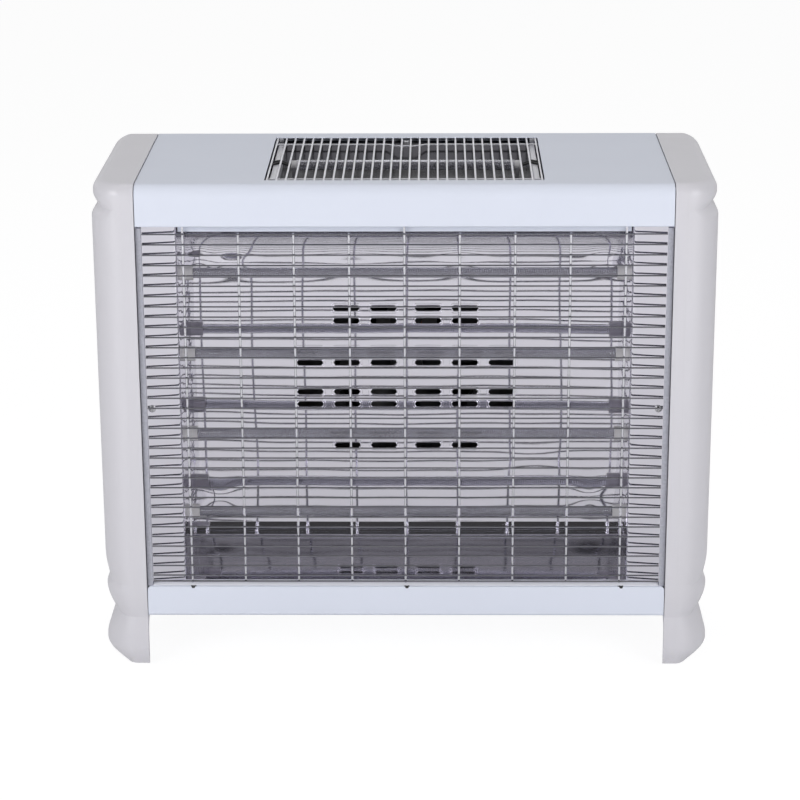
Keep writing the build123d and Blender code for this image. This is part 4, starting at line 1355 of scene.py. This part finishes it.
@dataclass
class Hems:
    """Hems above and below the tubes, the lower one in a lighter paint that is painted light, and black wells
    that stand as painted shade in the holes that the hooked stays go into.
    """

    palette: Palette
    lintel_half: float = 236.0 * MM
    lintel_back: float = 12.5 * MM
    thickness: float = 0.8 * MM
    round_share: float = 0.45
    drop: float = 7.5 * MM
    sill_half: float = 273.0 * MM
    sill_back: float = 8.0 * MM
    sill_depth: float = 11.0 * MM
    sill_tilt: float = math.radians(13.0)
    hole_r: float = 2.3 * MM
    hole_sides: int = 24
    hole_depth: float = 2.4 * MM
    hole_shift: float = 1.5 * MM
    hole_front: float = 0.5 * MM
    hole_rise: float = 0.7 * MM
    hole_border: float = 0.5 * MM
    hole_slope: float = 0.1 * MM
    hole_sink: float = 1.6 * MM
    stay_half: float = 0.85 * MM

    def build(self) -> None:
        """Make the two hems and the black wells of painted shade in the holes."""
        front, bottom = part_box("top_cover")[0].yz
        sill_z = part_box("bottom_panel")[1].z
        lintel = Matrix.Translation((0.0, front + self.lintel_back, bottom - self.drop / 2))
        self.hem("lintel_hem", (2 * self.lintel_half, self.thickness, self.drop), lintel, PAINTED_STEEL)
        rise = math.sin(self.sill_tilt) * self.sill_depth / 2 + self.thickness / 2
        sill = Matrix.Translation((0.0, front + self.sill_back, sill_z + rise))
        sill @= Matrix.Rotation(self.sill_tilt, 4, "X")
        self.hem("sill_hem", (2 * self.sill_half, self.sill_depth, self.thickness), sill, HEM_PAINTED_LIGHT)
        hole_z = sill_z + self.hole_rise - self.hole_depth / 2
        # Black wells under the hook slots are painted shade: they stand for the shade inside the slots.
        for number, x in enumerate(self.hook_places(), start=1):
            at = (x, front + self.hole_r - self.hole_front, hole_z)
            name = f"hook_shade_well_{number}"
            hole = Piece.cylinder(name, self.hole_r, self.hole_depth, at, Axis.Z, self.hole_sides)
            hole.sink(lambda at, way: way.z > 0.9, self.hole_border, self.hole_slope, self.hole_sink)
            hole.smooth().wear(self.palette.material(BLACK), "black_plastic")

    def hook_places(self) -> list[float]:
        """Places across of the hooked stays.

        Returns:
            The left one's, the middle one's and the right one's.
        """
        low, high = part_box("guard_stays")
        reach = (high.x - low.x) / 2 - self.stay_half
        return [place + self.hole_shift for place in (-reach, 0.0, reach)]

    def hem(self, name: str, size: Sequence[float], place: Matrix, finish: Finish) -> None:
        """Model one hem: a thin strip with rounded long edges.

        Args:
            name: The piece's name.
            size: Its size.
            place: Its place and tilt.
            finish: Its finish.
        """
        piece = Piece.cube(name, size, ORIGIN)
        piece.round_edges(lambda at, way: abs(way.x) > 0.9, self.thickness * self.round_share, 3).settle()
        piece.shift(place).smooth().wear(self.palette.material(finish), "painted_steel")


@dataclass
class InletShadeScreen:
    """Black gauze behind the fan's inlet slots, with a raised hem around it: a guessed filter, black so that
    it stands as painted shade behind the slots.
    """

    palette: Palette
    half: float = 92.0 * MM
    corner: float = 14.0 * MM
    thickness: float = 0.8 * MM
    inset: float = 1.2 * MM
    hem: float = 3.0 * MM
    slope: float = 0.4 * MM
    sunk: float = 0.3 * MM

    def build(self) -> None:
        """Make the gauze of painted shade."""
        middle = (0.0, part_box("back_panel")[1].y - self.inset - self.thickness / 2, fan_level())
        screen = Piece.cube("inlet_shade_gauze", (2 * self.half, self.thickness, 2 * self.half), middle)
        screen.round_edges(lambda at, way: abs(way.y) > 0.9, self.corner, 6)
        screen.sink(lambda at, way: way.y < -0.9, self.hem, self.slope, self.sunk)
        screen.smooth(30.0).wear(self.palette.material(GAUZE_PAINTED_SHADE), "black_plastic")


@dataclass
class Studio:
    """Camera, floor and lights."""

    focal_px: float = 2584.0
    frame_px: float = 800.0
    sensor: float = 36.0
    far: float = 200.0
    eye: Triple = (0.033, -2.734, 1.132)
    pitch: float = math.radians(17.65)
    yaw: float = math.radians(-0.84)
    roll: float = math.radians(0.26)
    floor_half: float = 40.0
    floor_color: Color = (0.86, 0.86, 0.87)
    floor_glow: float = 1.12
    floor_share: float = 0.82
    target: Triple = (0.0, 0.0, 0.3)
    lamps: tuple[tuple[str, Triple, float, float], ...] = (
        ("left_softbox", (-2.2, -2.4, 1.3), 1.8, 60.0),
        ("right_softbox", (2.2, -2.4, 1.3), 1.8, 54.0),
        ("top_softbox", (0.0, 0.3, 2.6), 1.6, 9.0),
    )
    rear_glow: tuple[float, float, float, float] = (-0.25, 0.30, 0.05, 0.85)
    ceiling_glow: tuple[float, float, float, float] = (0.72, 0.86, 0.0, 0.34)
    soft_loss: float = 0.45

    def build(self) -> None:
        """Set the camera, the floor, the lamps and the surroundings."""
        self.camera()
        self.floor()
        for name, place, size, power in self.lamps:
            self.lamp(name, Vector(place), size, power)
        self.surroundings()
        bpy.context.scene.view_settings.view_transform = "Standard"

    def camera(self) -> None:
        """Place the camera at the photograph's viewing angle."""
        cos_p, sin_p = math.cos(self.pitch), math.sin(self.pitch)
        cos_y, sin_y = math.cos(self.yaw), math.sin(self.yaw)
        ahead = Vector((sin_y * cos_p, cos_y * cos_p, -sin_p))
        right = Vector((cos_y, -sin_y, 0.0))
        down = ahead.cross(right)
        level_x = right * math.cos(self.roll) + down * math.sin(self.roll)
        level_y = right * math.sin(self.roll) - down * math.cos(self.roll)
        view = Matrix((level_x, level_y, -ahead)).transposed().to_4x4()
        view.translation = Vector(self.eye)
        data = bpy.data.cameras.new("camera")
        data.sensor_width = self.sensor
        data.lens = self.focal_px / self.frame_px * data.sensor_width
        data.clip_end = self.far
        camera = bpy.data.objects.new("camera", data)
        camera.matrix_world = view
        bpy.context.scene.collection.objects.link(camera)
        bpy.context.scene.camera = camera

    def floor(self) -> None:
        """Lay a plain pale floor that shows white to the camera and keeps a soft shadow."""
        floor = Piece("floor", bpy.ops.mesh.primitive_plane_add, size=2 * self.floor_half).obj
        shader = Shader("pale_floor")
        shader.set(Base_Color=(*self.floor_color, 1.0), Roughness=0.9)
        glow = shader.add("ShaderNodeEmission", {}, {"Color": WHITE, "Strength": self.floor_glow})
        layers = {0: shader.seen() * self.floor_share, 1: shader.surface.outputs[0], 2: glow.outputs[0]}
        mixed = shader.add("ShaderNodeMixShader", {}, layers)
        shader.feed(shader.tree.nodes["Material Output"].inputs["Surface"], mixed.outputs[0])
        floor.data.materials.append(shader.material)

    def lamp(self, name: str, place: Vector, size: float, power: float) -> None:
        """Hang one square softbox that points at the heater.

        Args:
            name: The lamp's name.
            place: Where it hangs.
            size: Its width in metres.
            power: Its power in watts.
        """
        data = bpy.data.lights.new(name, "AREA")
        data.size = size
        data.energy = power
        lamp = bpy.data.objects.new(name, data)
        lamp.location = place
        lamp.rotation_euler = (Vector(self.target) - place).to_track_quat("-Z", "Y").to_euler()
        bpy.context.scene.collection.objects.link(lamp)

    def surroundings(self) -> None:
        """White to the eye and through glass; for gloss, white behind and a dark room in front."""
        world = bpy.data.worlds.new("studio")
        bpy.context.scene.world = world
        world.use_nodes = True
        nodes = Nodes(world.node_tree)
        behind = nodes.along(1, "Generated").ramp(*self.rear_glow)
        room = behind.larger(nodes.along(2, "Generated").ramp(*self.ceiling_glow))
        dimmed = room * (1.0 - nodes.ray("Diffuse") * self.soft_loss)
        levels = {"Factor": nodes.seen(), 2: dimmed, 3: 1.0}
        level = nodes.add("ShaderNodeMix", {"data_type": "FLOAT"}, levels)
        background = nodes.tree.nodes["Background"]
        nodes.feed(background.inputs["Strength"], level.outputs[0])
        nodes.feed(background.inputs["Color"], WHITE)


def main() -> None:
    """Build every sub-assembly around the frame."""
    logging.basicConfig(level=logging.INFO, format="%(name)s: %(message)s")
    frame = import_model()
    palette = Palette()
    Studio().build()
    palette.dress_nodes(frame["nodes"])
    QuartzHeaters(palette).build()
    Screws(palette).build()
    FootPads(palette).build()
    Cheeks(palette).build()
    Reflector(palette).build()
    Hems(palette).build()
    InletShadeScreen(palette).build()


if __name__ == "__main__":
    main()
